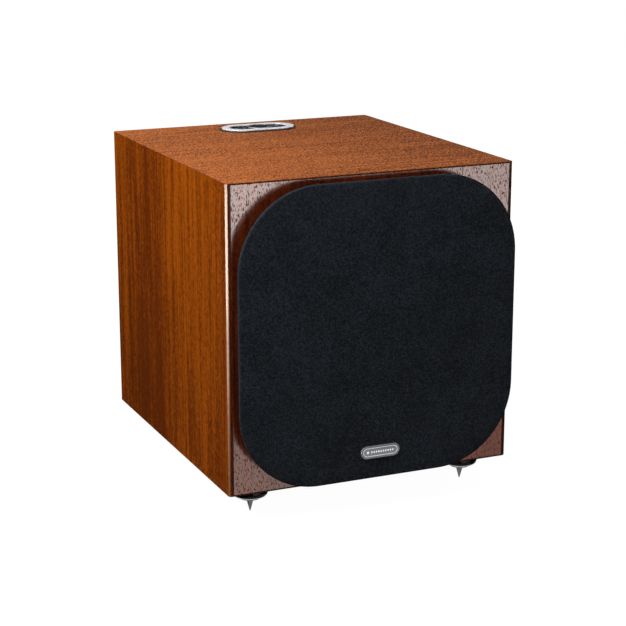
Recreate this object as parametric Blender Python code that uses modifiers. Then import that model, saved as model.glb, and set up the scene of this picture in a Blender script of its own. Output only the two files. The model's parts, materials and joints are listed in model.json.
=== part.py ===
"""A powered 12-inch subwoofer: veneered cabinet, bass driver, magnetic cloth grille, top control
plate, rear amplifier module and four spiked feet.

Metres, +Z up. The origin is on the floor, at the centre of the object's outer box. -Y is the front.
"""

import math

import bmesh
import bpy
from mathutils import Matrix, Vector

# ---------------------------------------------------------------- driving dimensions
CABINET_WIDTH = 0.360
CABINET_HEIGHT = 0.3625
CABINET_DEPTH = 0.404
WALL = 0.020
BAFFLE = 0.025
CORNER_RADIUS = 0.0045
SIDE_NOSE = 0.0052          # strip of side panel that shows beside the baffle
TOP_LIP = 0.0012            # lip of the top and bottom panels over the baffle
BACK_NOSE = 0.008
GAP = 0.0003                # clearance between pieces that touch

GRILLE_WIDTH = 0.3476
GRILLE_HEIGHT = 0.3524
GRILLE_RADIUS = 0.0970
GRILLE_PROUD = 0.0212       # grille face, measured from the baffle
GRILLE_THICK = 0.0062
CLOTH = 0.0006
BADGE_THICK = 0.0013

KNOB_PROUD = 0.013          # the crossover knob's end, measured from the back panel

DRIVER_CUTOUT = 0.1425      # radius of the hole in the baffle
DRIVER_FLANGE = 0.1562      # radius of the driver's frame
DRIVER_REBATE = 0.0068      # how deep the frame is let in

SPIKE_LENGTH = 0.0364       # cabinet bottom to spike tip
FOOT_X = 0.139
FOOT_INSET = 0.040          # foot axis to the cabinet's front or back face

# ---------------------------------------------------------------- places worked out from them
FRONT = -(CABINET_DEPTH - GRILLE_PROUD - BADGE_THICK + KNOB_PROUD) / 2
BACK = FRONT + CABINET_DEPTH
BOTTOM = SPIKE_LENGTH
TOP = BOTTOM + CABINET_HEIGHT
HALF_WIDTH = CABINET_WIDTH / 2
MIDDLE_Z = (BOTTOM + TOP) / 2
GRILLE_Z = MIDDLE_Z + 0.0003
INSIDE_FRONT = FRONT + BAFFLE + GAP
INSIDE_BACK = BACK - WALL - GAP

DRIVER = Vector((0, FRONT, MIDDLE_Z))       # centre of the driver, on the baffle's face
CONTROLS = Vector((0, FRONT + 0.350, TOP))  # centre of the control plate, on the top face
TRAY_HALF = (0.0458, 0.0238)                # half sizes of the control tray's cut-out
SPIKE_SHANK = 0.004
SPIKE_BORE = 0.0044
SPIKE_SOCKET = 0.017                        # depth of the threaded socket over each spike

AMP_Z = BOTTOM + 0.170                      # centre of the amplifier plate
AMP_HALF_WIDTH = 0.140
AMP_HALF_HEIGHT = 0.130
AMP_OPENING = (0.125, 0.115)                # half sizes of the hole behind it
AMP_PLATE = 0.003
AMP_GASKET = 0.0017

# Local +Z of a piece that is drawn flat and then stood up points out of the front or the back.
FACING_FRONT = (math.pi / 2, 0, 0)
FACING_BACK = (math.pi / 2, 0, math.pi)

# name: (colour, roughness, metallic)
MATERIALS = {
    "veneer": ((0.42, 0.17, 0.05), 0.30, 0.0),
    "board": ((0.45, 0.33, 0.22), 0.80, 0.0),
    "cloth": ((0.012, 0.013, 0.015), 0.95, 0.0),
    "black_plastic": ((0.018, 0.018, 0.020), 0.45, 0.0),
    "gloss_black": ((0.008, 0.008, 0.010), 0.12, 0.0),
    "rubber": ((0.020, 0.020, 0.020), 0.75, 0.0),
    "silver": ((0.72, 0.73, 0.75), 0.28, 1.0),
    "steel": ((0.50, 0.52, 0.53), 0.30, 1.0),
    "badge": ((0.36, 0.38, 0.40), 0.40, 1.0),
    "cast_alloy": ((0.10, 0.10, 0.11), 0.50, 0.6),
    "cone": ((0.55, 0.56, 0.58), 0.35, 0.9),
    "copper": ((0.70, 0.30, 0.14), 0.35, 1.0),
    "former": ((0.62, 0.48, 0.25), 0.50, 0.0),
    "spider": ((0.60, 0.40, 0.10), 0.85, 0.0),
    "ferrite": ((0.05, 0.05, 0.055), 0.70, 0.2),
    "amp_plate": ((0.030, 0.030, 0.033), 0.45, 0.5),
    "foam": ((0.03, 0.03, 0.03), 0.95, 0.0),
    "circuit": ((0.02, 0.16, 0.06), 0.45, 0.0),
    "wadding": ((0.80, 0.80, 0.78), 0.95, 0.0),
    "gold": ((0.85, 0.62, 0.22), 0.25, 1.0),
    "cable": ((0.50, 0.03, 0.03), 0.50, 0.0),
}


# ---------------------------------------------------------------- helpers
def new_collection(name):
    collection = bpy.data.collections.new(name)
    bpy.context.scene.collection.children.link(collection)
    return collection


def start():
    """Clears the scene and makes the two collections and the materials."""
    for obj in list(bpy.data.objects):
        bpy.data.objects.remove(obj)
    for name, (colour, roughness, metallic) in MATERIALS.items():
        made = bpy.data.materials.new(name)
        made.use_nodes = True
        shader = made.node_tree.nodes["Principled BSDF"]
        shader.inputs["Base Color"].default_value = (*colour, 1)
        shader.inputs["Roughness"].default_value = roughness
        shader.inputs["Metallic"].default_value = metallic
    return new_collection("subwoofer"), new_collection("cutters")


PARTS, CUTTERS = start()


def part(name, mesh, material, location=(0, 0, 0), rotation=(0, 0, 0)):
    """A piece of the object, shown and built as a node."""
    obj = bpy.data.objects.new(name, mesh)
    obj.location = location
    obj.rotation_euler = rotation
    mesh.materials.append(bpy.data.materials[material])
    PARTS.objects.link(obj)
    return obj


def cutter(mesh, location=(0, 0, 0), rotation=(0, 0, 0)):
    """A shape that only cuts or joins others."""
    obj = bpy.data.objects.new("cutter", mesh)
    obj.location = location
    obj.rotation_euler = rotation
    obj.hide_render = True
    obj.display_type = "WIRE"
    CUTTERS.objects.link(obj)
    return obj


def boolean(obj, other, operation="DIFFERENCE"):
    modifier = obj.modifiers.new("cut", "BOOLEAN")
    modifier.operation = operation
    modifier.object = other
    modifier.solver = "EXACT"
    return obj


def bevel(obj, width, segments=2, angle=40):
    modifier = obj.modifiers.new("bevel", "BEVEL")
    modifier.width = width
    modifier.segments = segments
    modifier.limit_method = "ANGLE"
    modifier.angle_limit = math.radians(angle)
    return obj


def mesh_of(bm, smooth=False):
    bmesh.ops.recalc_face_normals(bm, faces=bm.faces)
    mesh = bpy.data.meshes.new("shape")
    bm.to_mesh(mesh)
    bm.free()
    if smooth:
        mesh.shade_smooth()
        mesh.set_sharp_from_angle(angle=math.radians(35))
    return mesh


def box(low, high):
    """A box mesh between two corners."""
    low, high = Vector(low), Vector(high)
    bm = bmesh.new()
    bmesh.ops.create_cube(bm, size=1)
    bmesh.ops.scale(bm, vec=high - low, verts=bm.verts)
    bmesh.ops.translate(bm, vec=(low + high) / 2, verts=bm.verts)
    return mesh_of(bm)


def cylinder(radius, low, high, segments=24):
    """A cylinder mesh along local Z, from height low to high."""
    bm = bmesh.new()
    bmesh.ops.create_cone(
        bm,
        cap_ends=True,
        segments=segments,
        radius1=radius,
        radius2=radius,
        depth=high - low,
        matrix=Matrix.Translation((0, 0, (low + high) / 2)),
    )
    return mesh_of(bm, smooth=True)


def rounded(half_width, half_height, radius, steps=8):
    """Corner-rounded rectangle about the origin, counter-clockwise; steps per corner."""
    points = []
    for turn, (sx, sy) in enumerate(((1, 1), (-1, 1), (-1, -1), (1, -1))):
        centre_x, centre_y = sx * (half_width - radius), sy * (half_height - radius)
        for step in range(steps + 1):
            angle = math.pi / 2 * (turn + step / steps)
            points.append((centre_x + radius * math.cos(angle), centre_y + radius * math.sin(angle)))
    return points


def circle(radius, segments, x=0.0, y=0.0):
    turns = (2 * math.pi * k / segments for k in range(segments))
    return [(x + radius * math.cos(a), y + radius * math.sin(a)) for a in turns]


def plate(loops, low, high):
    """A flat outline with holes, as a mesh from height low to high."""
    curve = bpy.data.curves.new("outline", "CURVE")
    curve.dimensions = "2D"
    curve.fill_mode = "BOTH"
    curve.extrude = (high - low) / 2
    for points in loops:
        spline = curve.splines.new("POLY")
        spline.points.add(len(points) - 1)
        for target, (x, y) in zip(spline.points, points):
            target.co = (x, y, 0, 1)
        spline.use_cyclic_u = True
    guide = bpy.data.objects.new("outline", curve)
    CUTTERS.objects.link(guide)
    graph = bpy.context.evaluated_depsgraph_get()
    flat = bpy.data.meshes.new_from_object(guide.evaluated_get(graph))
    bpy.data.objects.remove(guide)
    bm = bmesh.new()
    bm.from_mesh(flat)
    bmesh.ops.remove_doubles(bm, verts=bm.verts, dist=1e-6)
    bmesh.ops.dissolve_limit(bm, angle_limit=math.radians(0.5), verts=bm.verts, edges=bm.edges)
    bmesh.ops.translate(bm, vec=(0, 0, (low + high) / 2), verts=bm.verts)
    return mesh_of(bm, smooth=True)


def profile_mesh(profile, closed):
    """A line of (radius, height) points, outer side first and running down, for a Screw."""
    mesh = bpy.data.meshes.new("profile")
    count = len(profile)
    edges = [(k, k + 1) for k in range(count - 1)] + ([(count - 1, 0)] if closed else [])
    mesh.from_pydata([(r, 0, h) for r, h in profile], edges, [])
    return mesh


def turn(obj, steps):
    modifier = obj.modifiers.new("turn", "SCREW")
    modifier.steps = steps
    modifier.render_steps = steps
    modifier.use_merge_vertices = True
    modifier.merge_threshold = 0.00001
    modifier.use_normal_calculate = False
    return obj


def turned(name, profile, material, location, rotation=(0, 0, 0), steps=28):
    """A turned piece. A profile that starts and ends on the axis is left open there."""
    closed = profile[0][0] > 0
    return turn(part(name, profile_mesh(profile, closed), material, location, rotation), steps)


def ring(name, inner, outer, low, high, material, location, rotation=(0, 0, 0), steps=28):
    profile = [(outer, high), (outer, low), (inner, low), (inner, high)]
    return turned(name, profile, material, location, rotation, steps)


def tube(name, points, radius, material):
    """A lead along a smooth curve through the points."""
    curve = bpy.data.curves.new(name, "CURVE")
    curve.dimensions = "3D"
    curve.bevel_depth = radius
    curve.bevel_resolution = 2
    curve.use_fill_caps = True
    spline = curve.splines.new("POLY")
    path = smooth_path([Vector(p) for p in points], 4)
    spline.points.add(len(path) - 1)
    for target, point in zip(spline.points, path):
        target.co = (*point, 1)
    obj = bpy.data.objects.new(name, curve)
    curve.materials.append(bpy.data.materials[material])
    PARTS.objects.link(obj)
    return obj


def smooth_path(points, per_span):
    """Points of a Catmull-Rom curve through the given ones."""
    ends = [2 * points[0] - points[1], *points, 2 * points[-1] - points[-2]]
    path = []
    for k in range(1, len(ends) - 2):
        a, b, c, d = ends[k - 1:k + 3]
        for step in range(per_span):
            t = step / per_span
            path.append(0.5 * (2 * b + (c - a) * t + (2 * a - 5 * b + 4 * c - d) * t ** 2
                               + (3 * b - a - 3 * c + d) * t ** 3))
    return path + [points[-1]]


# ---------------------------------------------------------------- cabinet
def mitred_panel(name, outer_half, centre, angle):
    """One wall of the wrap: a slab that narrows inwards at 45 degrees, turned about Y.

    outer_half is half its outer width, centre the middle of its outer face.
    """
    outer = outer_half - GAP
    bm = bmesh.new()
    bmesh.ops.create_cube(bm, size=1)
    for vertex in bm.verts:
        half = outer if vertex.co.z > 0 else outer - WALL
        vertex.co.x = math.copysign(half, vertex.co.x)
        vertex.co.y *= CABINET_DEPTH + 2 * WALL
        vertex.co.z = 0 if vertex.co.z > 0 else -WALL
    panel = part(name, mesh_of(bm), "veneer", centre, (0, angle, 0))
    boolean(panel, BLANK, "INTERSECT")
    boolean(panel, BAFFLE_POCKET)
    return boolean(panel, BACK_POCKET)


def baffle_holes():
    """Rebate and hole for the driver, drawn facing the front."""
    margin, clearance = 0.001, 0.0008
    hole = cylinder(DRIVER_CUTOUT, -BAFFLE - margin, margin, 48)
    rebate = cylinder(DRIVER_FLANGE + clearance, -DRIVER_REBATE, margin, 48)
    return [cutter(mesh, DRIVER, FACING_FRONT) for mesh in (hole, rebate)]


def spike_places():
    """(name ending, x, y) of each foot."""
    for side, x in (("left", -FOOT_X), ("right", FOOT_X)):
        yield f"front_{side}", x, FRONT + FOOT_INSET
        yield f"rear_{side}", x, BACK - FOOT_INSET


def stadium(half_length, half_width, steps=10):
    return rounded(half_length, half_width, half_width, steps)


plan = plate([rounded(HALF_WIDTH, CABINET_DEPTH / 2, CORNER_RADIUS, 3)], 0, CABINET_HEIGHT)
BLANK = cutter(plan, (0, (FRONT + BACK) / 2, BOTTOM))
BAFFLE_POCKET = cutter(box(
    (-HALF_WIDTH + SIDE_NOSE, FRONT - 0.01, BOTTOM + TOP_LIP),
    (HALF_WIDTH - SIDE_NOSE, INSIDE_FRONT, TOP - TOP_LIP)))
BACK_POCKET = cutter(box(
    (-HALF_WIDTH + BACK_NOSE, INSIDE_BACK, BOTTOM + BACK_NOSE),
    (HALF_WIDTH - BACK_NOSE, BACK + 0.01, TOP - BACK_NOSE)))


def make_cabinet():
    mid_y = (FRONT + BACK) / 2
    half_height = CABINET_HEIGHT / 2
    top = mitred_panel("top_panel", HALF_WIDTH, (0, mid_y, TOP), 0)
    boolean(top, cutter(plate([stadium(*TRAY_HALF)], -0.03, 0.01), CONTROLS))
    bottom = mitred_panel("bottom_panel", HALF_WIDTH, (0, mid_y, BOTTOM), math.pi)
    for _, x, y in spike_places():
        boolean(bottom, cutter(cylinder(SPIKE_BORE, -0.001, SPIKE_SOCKET, 16), (x, y, BOTTOM)))
    mitred_panel("left_side_panel", half_height, (-HALF_WIDTH, mid_y, MIDDLE_Z), -math.pi / 2)
    mitred_panel("right_side_panel", half_height, (HALF_WIDTH, mid_y, MIDDLE_Z), math.pi / 2)

    edge_x = HALF_WIDTH - SIDE_NOSE - GAP
    edge_z = TOP_LIP + GAP
    baffle = part("front_baffle", box((-edge_x, FRONT, BOTTOM + edge_z),
                                      (edge_x, FRONT + BAFFLE, TOP - edge_z)), "veneer")
    for hole in baffle_holes():
        boolean(baffle, hole)

    edge = BACK_NOSE + GAP
    back = part("back_panel", box((-HALF_WIDTH + edge, BACK - WALL, BOTTOM + edge),
                                  (HALF_WIDTH - edge, BACK, TOP - edge)), "veneer")
    centre = (0, BACK, AMP_Z)
    opening = plate([rounded(*AMP_OPENING, 0.006, 3)], -0.03, 0.01)
    rebate = plate([rounded(AMP_HALF_WIDTH + GAP, AMP_HALF_HEIGHT + GAP, 0.0063, 3)],
                   -(AMP_PLATE + AMP_GASKET + 2 * GAP), 0.01)
    boolean(back, cutter(opening, centre, FACING_BACK))
    boolean(back, cutter(rebate, centre, FACING_BACK))

    inside_x = HALF_WIDTH - WALL - 2 * GAP
    inside_z = CABINET_HEIGHT / 2 - WALL - 2 * GAP
    window, window_radius, half_board = 0.105, 0.030, 0.009
    part("window_brace", plate([rounded(inside_x, inside_z, 0.004, 2),
                                rounded(window, window, window_radius, 5)], -half_board, half_board),
         "board", (0, FRONT + 0.214, MIDDLE_Z), FACING_FRONT)


# ---------------------------------------------------------------- driver
# Heights are along the driver's axis, from the baffle's face, forwards positive.
CONE_EDGE = (0.1170, -0.0030)
CONE_NECK = (0.0330, -0.0420)
FORMER_RADIUS = 0.0323
ROLL_INNER = 0.1165
ROLL_OUTER = 0.1395
ROLL_HEIGHT = 0.0100


def cone_height(radius, depth=0.0):
    """Height of the cone's front face at a radius: a shallow curve from neck to edge."""
    (edge_r, edge_h), (neck_r, neck_h) = CONE_EDGE, CONE_NECK
    t = (radius - neck_r) / (edge_r - neck_r)
    return neck_h + (edge_h - neck_h) * (1.18 * t - 0.18 * t * t) - depth


def make_cone():
    neck, edge = CONE_NECK[0], CONE_EDGE[0]
    steps = 3
    radii = [edge + (neck - edge) * k / steps for k in range(steps + 1)]
    skin = 0.0014
    profile = [(r, cone_height(r, skin)) for r in radii]
    profile += [(r, cone_height(r)) for r in reversed(radii)]
    turned("cone", profile, "cone", DRIVER, FACING_FRONT, 36)


def make_dust_cap():
    rim, rise, skin = 0.0500, 0.0115, 0.0012
    base = cone_height(rim) + 0.0008
    steps = 4
    dome = [(rim * math.cos(math.pi / 2 * k / steps), math.sin(math.pi / 2 * k / steps))
            for k in range(steps + 1)]
    outer = [(r, base + rise * s) for r, s in dome]
    inner = [(r * (1 - skin / rim), base + (rise - skin) * s) for r, s in dome]
    outer[-1], inner[-1] = (0, outer[-1][1]), (0, inner[-1][1])
    outside = list(reversed(outer))
    turned("dust_cap", outside + inner, "cone", DRIVER, FACING_FRONT, 28)


def make_surround():
    """Half-roll of rubber with a flat land on each side."""
    middle, half = (ROLL_INNER + ROLL_OUTER) / 2, (ROLL_OUTER - ROLL_INNER) / 2
    skin, land, steps = 0.0011, 0.0050, 5
    base = -GAP
    arc = [math.pi * k / steps for k in range(steps + 1)]
    top = [(ROLL_OUTER + land, base + skin)]
    top += [(middle + half * math.cos(a), base + skin + ROLL_HEIGHT * math.sin(a)) for a in arc]
    top += [(ROLL_INNER - 0.0045, base - 0.0010)]
    below = [(r, h - skin) for r, h in top]
    turned("surround", list(reversed(top)) + below, "rubber", DRIVER, FACING_FRONT, 36)


def make_spider():
    """Corrugated disc that centres the voice coil."""
    inner, wavy, outer, waves, height, skin = FORMER_RADIUS + GAP, 0.0790, 0.0935, 3, 0.0022, 0.0009
    base, steps = -0.0560, 12
    top = []
    for k in range(steps + 1):
        t = k / steps
        top.append((inner + (wavy - inner) * t, base + height * math.sin(2 * math.pi * waves * t)))
    top.append((outer, base))
    below = [(r, h - skin) for r, h in top]
    turned("spider", top + list(reversed(below)), "spider", DRIVER, FACING_FRONT, 24)


def make_basket():
    """Cast frame: flange, six spokes, a ledge for the spider and a plate for the magnet."""
    ledge = -0.0572
    profile = [
        (DRIVER_FLANGE, -0.0012), (DRIVER_FLANGE, -0.0062), (0.1410, -0.0062), (0.1380, -0.0120),
        (0.0900, -0.0720), (0.0900, -0.0800), (0.0400, -0.0800), (0.0400, -0.0765),
        (0.0800, -0.0765), (0.0800, ledge), (0.0960, ledge), (0.1325, -0.0120),
        (0.1325, -0.0012),
    ]
    basket = turned("driver_basket", profile, "cast_alloy", DRIVER, FACING_FRONT, 36)
    window = plate([rounded(0.040, 0.030, 0.010, 1)], 0.060, 0.160)
    for k in range(6):
        angle = math.pi / 3 * k
        hole = cutter(window, DRIVER - Vector((0, -0.0350, 0)))
        outward = Vector((math.cos(angle), 0, math.sin(angle)))
        across = Vector((0, 1, 0)).cross(outward)
        # The window's own axis points outwards; its height runs along the driver's axis.
        frame = Matrix((across, Vector((0, 1, 0)) * 0.62, outward)).transposed()
        hole.matrix_world = Matrix.Translation(hole.location) @ frame.to_4x4()
        boolean(basket, hole)


def make_motor():
    ring("voice_coil_former", 0.0317, FORMER_RADIUS - GAP / 2, -0.0950, -0.0300, "former",
         DRIVER, FACING_FRONT)
    ring("voice_coil", FORMER_RADIUS + GAP / 2, 0.0342, -0.1010, -0.0690, "copper",
         DRIVER, FACING_FRONT)
    ring("top_plate", 0.0360, 0.0780, -0.0903, -0.0803, "steel", DRIVER, FACING_FRONT)
    ring("magnet", 0.0440, 0.0880, -0.1256, -0.0906, "ferrite", DRIVER, FACING_FRONT)
    pole, vent, rim = 0.0305, 0.0110, 0.0780
    plate_top, plate_low, pole_top = -0.1259, -0.1379, -0.0795
    turned("pole_yoke", [(pole, pole_top), (pole, plate_top), (rim, plate_top),
                         (rim, plate_low), (vent, plate_low), (vent, pole_top)],
           "steel", DRIVER, FACING_FRONT)


def make_driver():
    make_basket()
    make_cone()
    make_dust_cap()
    make_surround()
    make_spider()
    make_motor()
    ring("driver_trim_ring", 0.1452, DRIVER_FLANGE - GAP, -0.0009, 0.0012, "rubber",
         DRIVER, FACING_FRONT, 40)
    block = box((-0.015, 0.0300, -0.1320), (0.015, 0.0440, -0.1230))
    bevel(part("driver_terminal", block, "black_plastic", DRIVER), 0.0012, 1)


# ---------------------------------------------------------------- grille
def make_grille():
    centre = (0, FRONT, GRILLE_Z)
    half_x, half_z = GRILLE_WIDTH / 2, GRILLE_HEIGHT / 2
    back_of_frame = GRILLE_PROUD - GRILLE_THICK
    inset = CLOTH + GAP
    frame = part("grille_frame",
                 plate([rounded(half_x - inset, half_z - inset, GRILLE_RADIUS - inset, 8),
                        circle(0.158, 40)], back_of_frame, GRILLE_PROUD - inset),
                 "black_plastic", centre, FACING_FRONT)
    bevel(frame, 0.0018, 1)
    boss_reach, overlap = 0.1275, 0.002
    for x in (-boss_reach, boss_reach):
        for z in (-boss_reach, boss_reach):
            boss = cylinder(0.0075, GAP, back_of_frame + overlap, 14)
            boolean(frame, cutter(boss, (x, FRONT, GRILLE_Z + z), FACING_FRONT), "UNION")

    cloth = part("grille_cloth",
                 plate([rounded(half_x, half_z, GRILLE_RADIUS, 8)], back_of_frame, GRILLE_PROUD),
                 "cloth", centre, FACING_FRONT)
    bevel(cloth, 0.0024, 2)
    pocket = cutter(plate([rounded(half_x - CLOTH, half_z - CLOTH, GRILLE_RADIUS - CLOTH, 8)],
                          back_of_frame - 0.005, GRILLE_PROUD - CLOTH),
                    centre, FACING_FRONT)
    bevel(pocket, 0.0018, 2)
    boolean(cloth, pocket)

    badge = part("badge", plate([stadium(0.0250, 0.0080, 10)], GAP, BADGE_THICK),
                 "badge", (0, FRONT - GRILLE_PROUD, BOTTOM + 0.0378), FACING_FRONT)
    bevel(badge, 0.0004, 1)


# ---------------------------------------------------------------- top control plate
# Heights are measured from the cabinet's top face.
FASCIA_TOP = 0.0010
DIAL_HOLE = 0.0141
BUTTON_RADIUS = 0.0031
BUTTON_PLACES = {"standby": -0.0240, "source": 0.0225, "preset": 0.0300}
BOARD_LOW, BOARD_TOP = -0.0108, -0.0092


def make_control_plate():
    """Black tray let into the top, a bright bezel on its rim and a black fascia inside it."""
    rim_top, pocket_floor, wall = 0.0009, -0.0200, 0.0020
    tray = part("control_tray", plate([stadium(0.0514, 0.0282)], GAP, rim_top),
                "black_plastic", CONTROLS)
    body = plate([stadium(TRAY_HALF[0] - GAP, TRAY_HALF[1] - GAP)], -0.022, rim_top / 2)
    boolean(tray, cutter(body, CONTROLS), "UNION")
    pocket = plate([stadium(TRAY_HALF[0] - wall, TRAY_HALF[1] - wall)], pocket_floor, 0.01)
    boolean(tray, cutter(pocket, CONTROLS))
    boolean(tray, cutter(cylinder(0.0040, -0.03, -0.01, 12), CONTROLS))

    bezel = part("control_bezel", plate([stadium(0.0502, 0.0270), stadium(0.0390, 0.0158)],
                                        rim_top + GAP, 0.0028), "silver", CONTROLS)
    bevel(bezel, 0.0006, 1)

    holes = [circle(DIAL_HOLE, 24)]
    holes += [circle(BUTTON_RADIUS + GAP, 12, x) for x in BUTTON_PLACES.values()]
    reach = wall + GAP
    part("control_fascia", plate([stadium(TRAY_HALF[0] - reach, TRAY_HALF[1] - reach), *holes],
                                 -0.0008, FASCIA_TOP - GAP), "gloss_black", CONTROLS)
    part("control_board", plate([stadium(0.0425, 0.0205, 6)], BOARD_LOW, BOARD_TOP),
         "circuit", CONTROLS)


def make_dial():
    """Low round dial: black skirt, bright chamfer, black top, and a stem into the encoder."""
    skirt, rim, face, stem = 0.0135, 0.0128, 0.0113, 0.0030
    turned("volume_dial", [
        (0, FASCIA_TOP + 0.0026), (face, FASCIA_TOP + 0.0026), (rim, FASCIA_TOP + 0.0010),
        (skirt, FASCIA_TOP + 0.0006), (skirt, FASCIA_TOP - 0.0014), (stem, FASCIA_TOP - 0.0014),
        (stem, -0.0062), (0, -0.0062),
    ], "silver", CONTROLS, steps=32)
    bore = stem + GAP
    body, floor, head = 0.0062, -0.0072, -0.0027
    low = BOARD_TOP + GAP
    turned("dial_encoder", [(0, floor), (bore, floor), (bore, head), (body, head), (body, low), (0, low)],
           "steel", CONTROLS, steps=16)


def make_buttons():
    stem, cap_low, cap_top, travel = 0.0015, -0.0004, FASCIA_TOP + 0.0004, 0.0012
    for name, x in BUTTON_PLACES.items():
        turned(f"{name}_button", [
            (0, cap_top), (BUTTON_RADIUS - 0.0004, cap_top), (BUTTON_RADIUS, cap_top - 0.0004),
            (BUTTON_RADIUS, cap_low), (stem, cap_low), (stem, BOARD_TOP + travel),
            (0, BOARD_TOP + travel),
        ], "gloss_black", CONTROLS + Vector((x, 0, 0)), steps=12)


# ---------------------------------------------------------------- amplifier module
# Places on the amplifier plate are (x, z) from its centre, x as the world's.
INLET_AT = (0.100, -0.088)
ROCKER_AT = (0.100, -0.040)
RCA_PLACES = {"line_in_left": (-0.105, 0.070), "line_in_right": (-0.080, 0.070),
              "lfe_input": (-0.055, 0.070)}
CROSSOVER_AT = (0.000, 0.070)
PHASE_AT = (0.045, 0.070)
AUTO_AT = (0.085, 0.070)
TRIGGER_AT = (-0.105, 0.030)
SWITCH_SLOT = (0.0055, 0.0024)
SWITCH_TRAVEL = 0.003
INLET_HALF = (0.0138, 0.0175)
SOCKET_HALF = (0.0122, 0.0083)
SOCKET_DZ = 0.0062
DRAWER_HALF = (0.0108, 0.0030)
DRAWER_DZ = -0.0120
ROCKER_HALF = (0.0092, 0.0066)


def on_plate(place, dz=0.0):
    x, z = place
    return Vector((x, BACK, AMP_Z + z + dz))


def back_plate(half_x, half_z, radius, low, high, steps=2):
    """A rounded plate that faces the back, from depth low to high behind the amplifier plate."""
    return plate([rounded(half_x, half_z, radius, steps)], low, high)


def make_amp_plate():
    face = part("amp_plate", back_plate(AMP_HALF_WIDTH, AMP_HALF_HEIGHT, 0.006, -AMP_PLATE, 0, 3),
                "amp_plate", (0, BACK, AMP_Z), FACING_BACK)
    cuts = [(back_plate(INLET_HALF[0] + GAP, INLET_HALF[1] + GAP, 0.001, -0.01, 0.01), INLET_AT),
            (back_plate(0.0109, 0.0083, 0.001, -0.01, 0.01), ROCKER_AT),
            (cylinder(0.0034, -0.01, 0.01, 16), CROSSOVER_AT),
            (cylinder(0.0034, -0.01, 0.01, 16), TRIGGER_AT)]
    cuts += [(cylinder(0.0046, -0.01, 0.01, 16), place) for place in RCA_PLACES.values()]
    slot = back_plate(SWITCH_SLOT[0], SWITCH_SLOT[1], 0.0005, -0.01, 0.01)
    cuts += [(slot, PHASE_AT), (slot, AUTO_AT)]
    for mesh, place in cuts:
        boolean(face, cutter(mesh, on_plate(place), FACING_BACK))


def make_amp_shell():
    seal = plate([rounded(AMP_HALF_WIDTH, AMP_HALF_HEIGHT, 0.006, 3),
                  rounded(0.126, 0.116, 0.006, 3)],
                 -(AMP_PLATE + AMP_GASKET + GAP), -(AMP_PLATE + GAP))
    part("amp_gasket", seal, "foam", (0, BACK, AMP_Z), FACING_BACK)
    depth, wall, half_x, half_z = 0.090, 0.0025, 0.122, 0.112
    front = -(AMP_PLATE + GAP)
    shell = part("amp_housing", back_plate(half_x, half_z, 0.006, -depth, front, 3),
                 "black_plastic", (0, BACK, AMP_Z), FACING_BACK)
    hollow = back_plate(half_x - wall, half_z - wall, 0.004, -depth + wall, 0.01, 3)
    boolean(shell, cutter(hollow, (0, BACK, AMP_Z), FACING_BACK))


def make_electronics():
    """Circuit board across the module, with a toroidal transformer and a finned heat sink."""
    centre = (0, BACK, AMP_Z)
    board_back, board_front = -0.0400, -0.0416
    part("amp_board", back_plate(0.110, 0.100, 0.003, board_front, board_back), "circuit",
         centre, FACING_BACK)
    inner, outer, half, mid = 0.013, 0.036, 0.016, board_front - 0.0180
    corners = [(outer, half * 0.6), (outer, -half * 0.6), (outer - 0.006, -half),
               (inner + 0.004, -half), (inner, -half * 0.6), (inner, half * 0.6),
               (inner + 0.004, half), (outer - 0.006, half)]
    turned("power_transformer", [(r, mid + h) for r, h in corners], "copper",
           (0.060, BACK, AMP_Z - 0.045), FACING_BACK, 24)

    base, fin, pitch, count = 0.004, 0.0016, 0.008, 9
    width = pitch * (count - 1) / 2 + fin / 2
    low = board_front - GAP
    comb = [(-width, 0), (width, 0)]
    for k in reversed(range(count)):
        x = (k - (count - 1) / 2) * pitch
        comb += [(x + fin / 2, 0.030), (x - fin / 2, 0.030)]
        if k:
            comb += [(x - fin / 2, base), (x - pitch + fin / 2, base)]
    part("heatsink", plate([comb], -0.045, 0.045), "silver",
         (-0.060, BACK + low, AMP_Z), (math.pi, 0, 0))


def make_mains_inlet():
    """Flanged mains inlet with a cavity for the plug and one for the fuse drawer."""
    place = on_plate(INLET_AT)
    inlet = part("mains_inlet", back_plate(0.0165, 0.0205, 0.002, GAP, 0.0024), "black_plastic",
                 place, FACING_BACK)
    body = back_plate(*INLET_HALF, 0.001, -0.026, 0.0010)
    boolean(inlet, cutter(body, place, FACING_BACK), "UNION")
    half_x, half_z = SOCKET_HALF
    slant = 0.0045
    socket = [(half_x, -half_z), (half_x, half_z - slant), (half_x - slant, half_z),
              (-half_x + slant, half_z), (-half_x, half_z - slant), (-half_x, -half_z)]
    boolean(inlet, cutter(plate([socket], -0.017, 0.01), on_plate(INLET_AT, SOCKET_DZ), FACING_BACK))
    pocket = back_plate(DRAWER_HALF[0] + GAP, DRAWER_HALF[1] + GAP, 0.0005, -0.0223, 0.01)
    boolean(inlet, cutter(pocket, on_plate(INLET_AT, DRAWER_DZ), FACING_BACK))

    drawer = part("fuse_drawer", back_plate(*DRAWER_HALF, 0.0005, -0.0220, 0.0020),
                  "black_plastic", on_plate(INLET_AT, DRAWER_DZ), FACING_BACK)
    grip = back_plate(0.0060, 0.0024, 0.0005, 0.0010, 0.0034)
    boolean(drawer, cutter(grip, on_plate(INLET_AT, DRAWER_DZ), FACING_BACK), "UNION")
    trough = back_plate(0.0090, 0.0022, 0.0005, -0.0190, -0.0030)
    boolean(drawer, cutter(trough, on_plate(INLET_AT, DRAWER_DZ + 0.0010), FACING_BACK))


ROCKER_TILT = math.radians(8)


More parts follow.
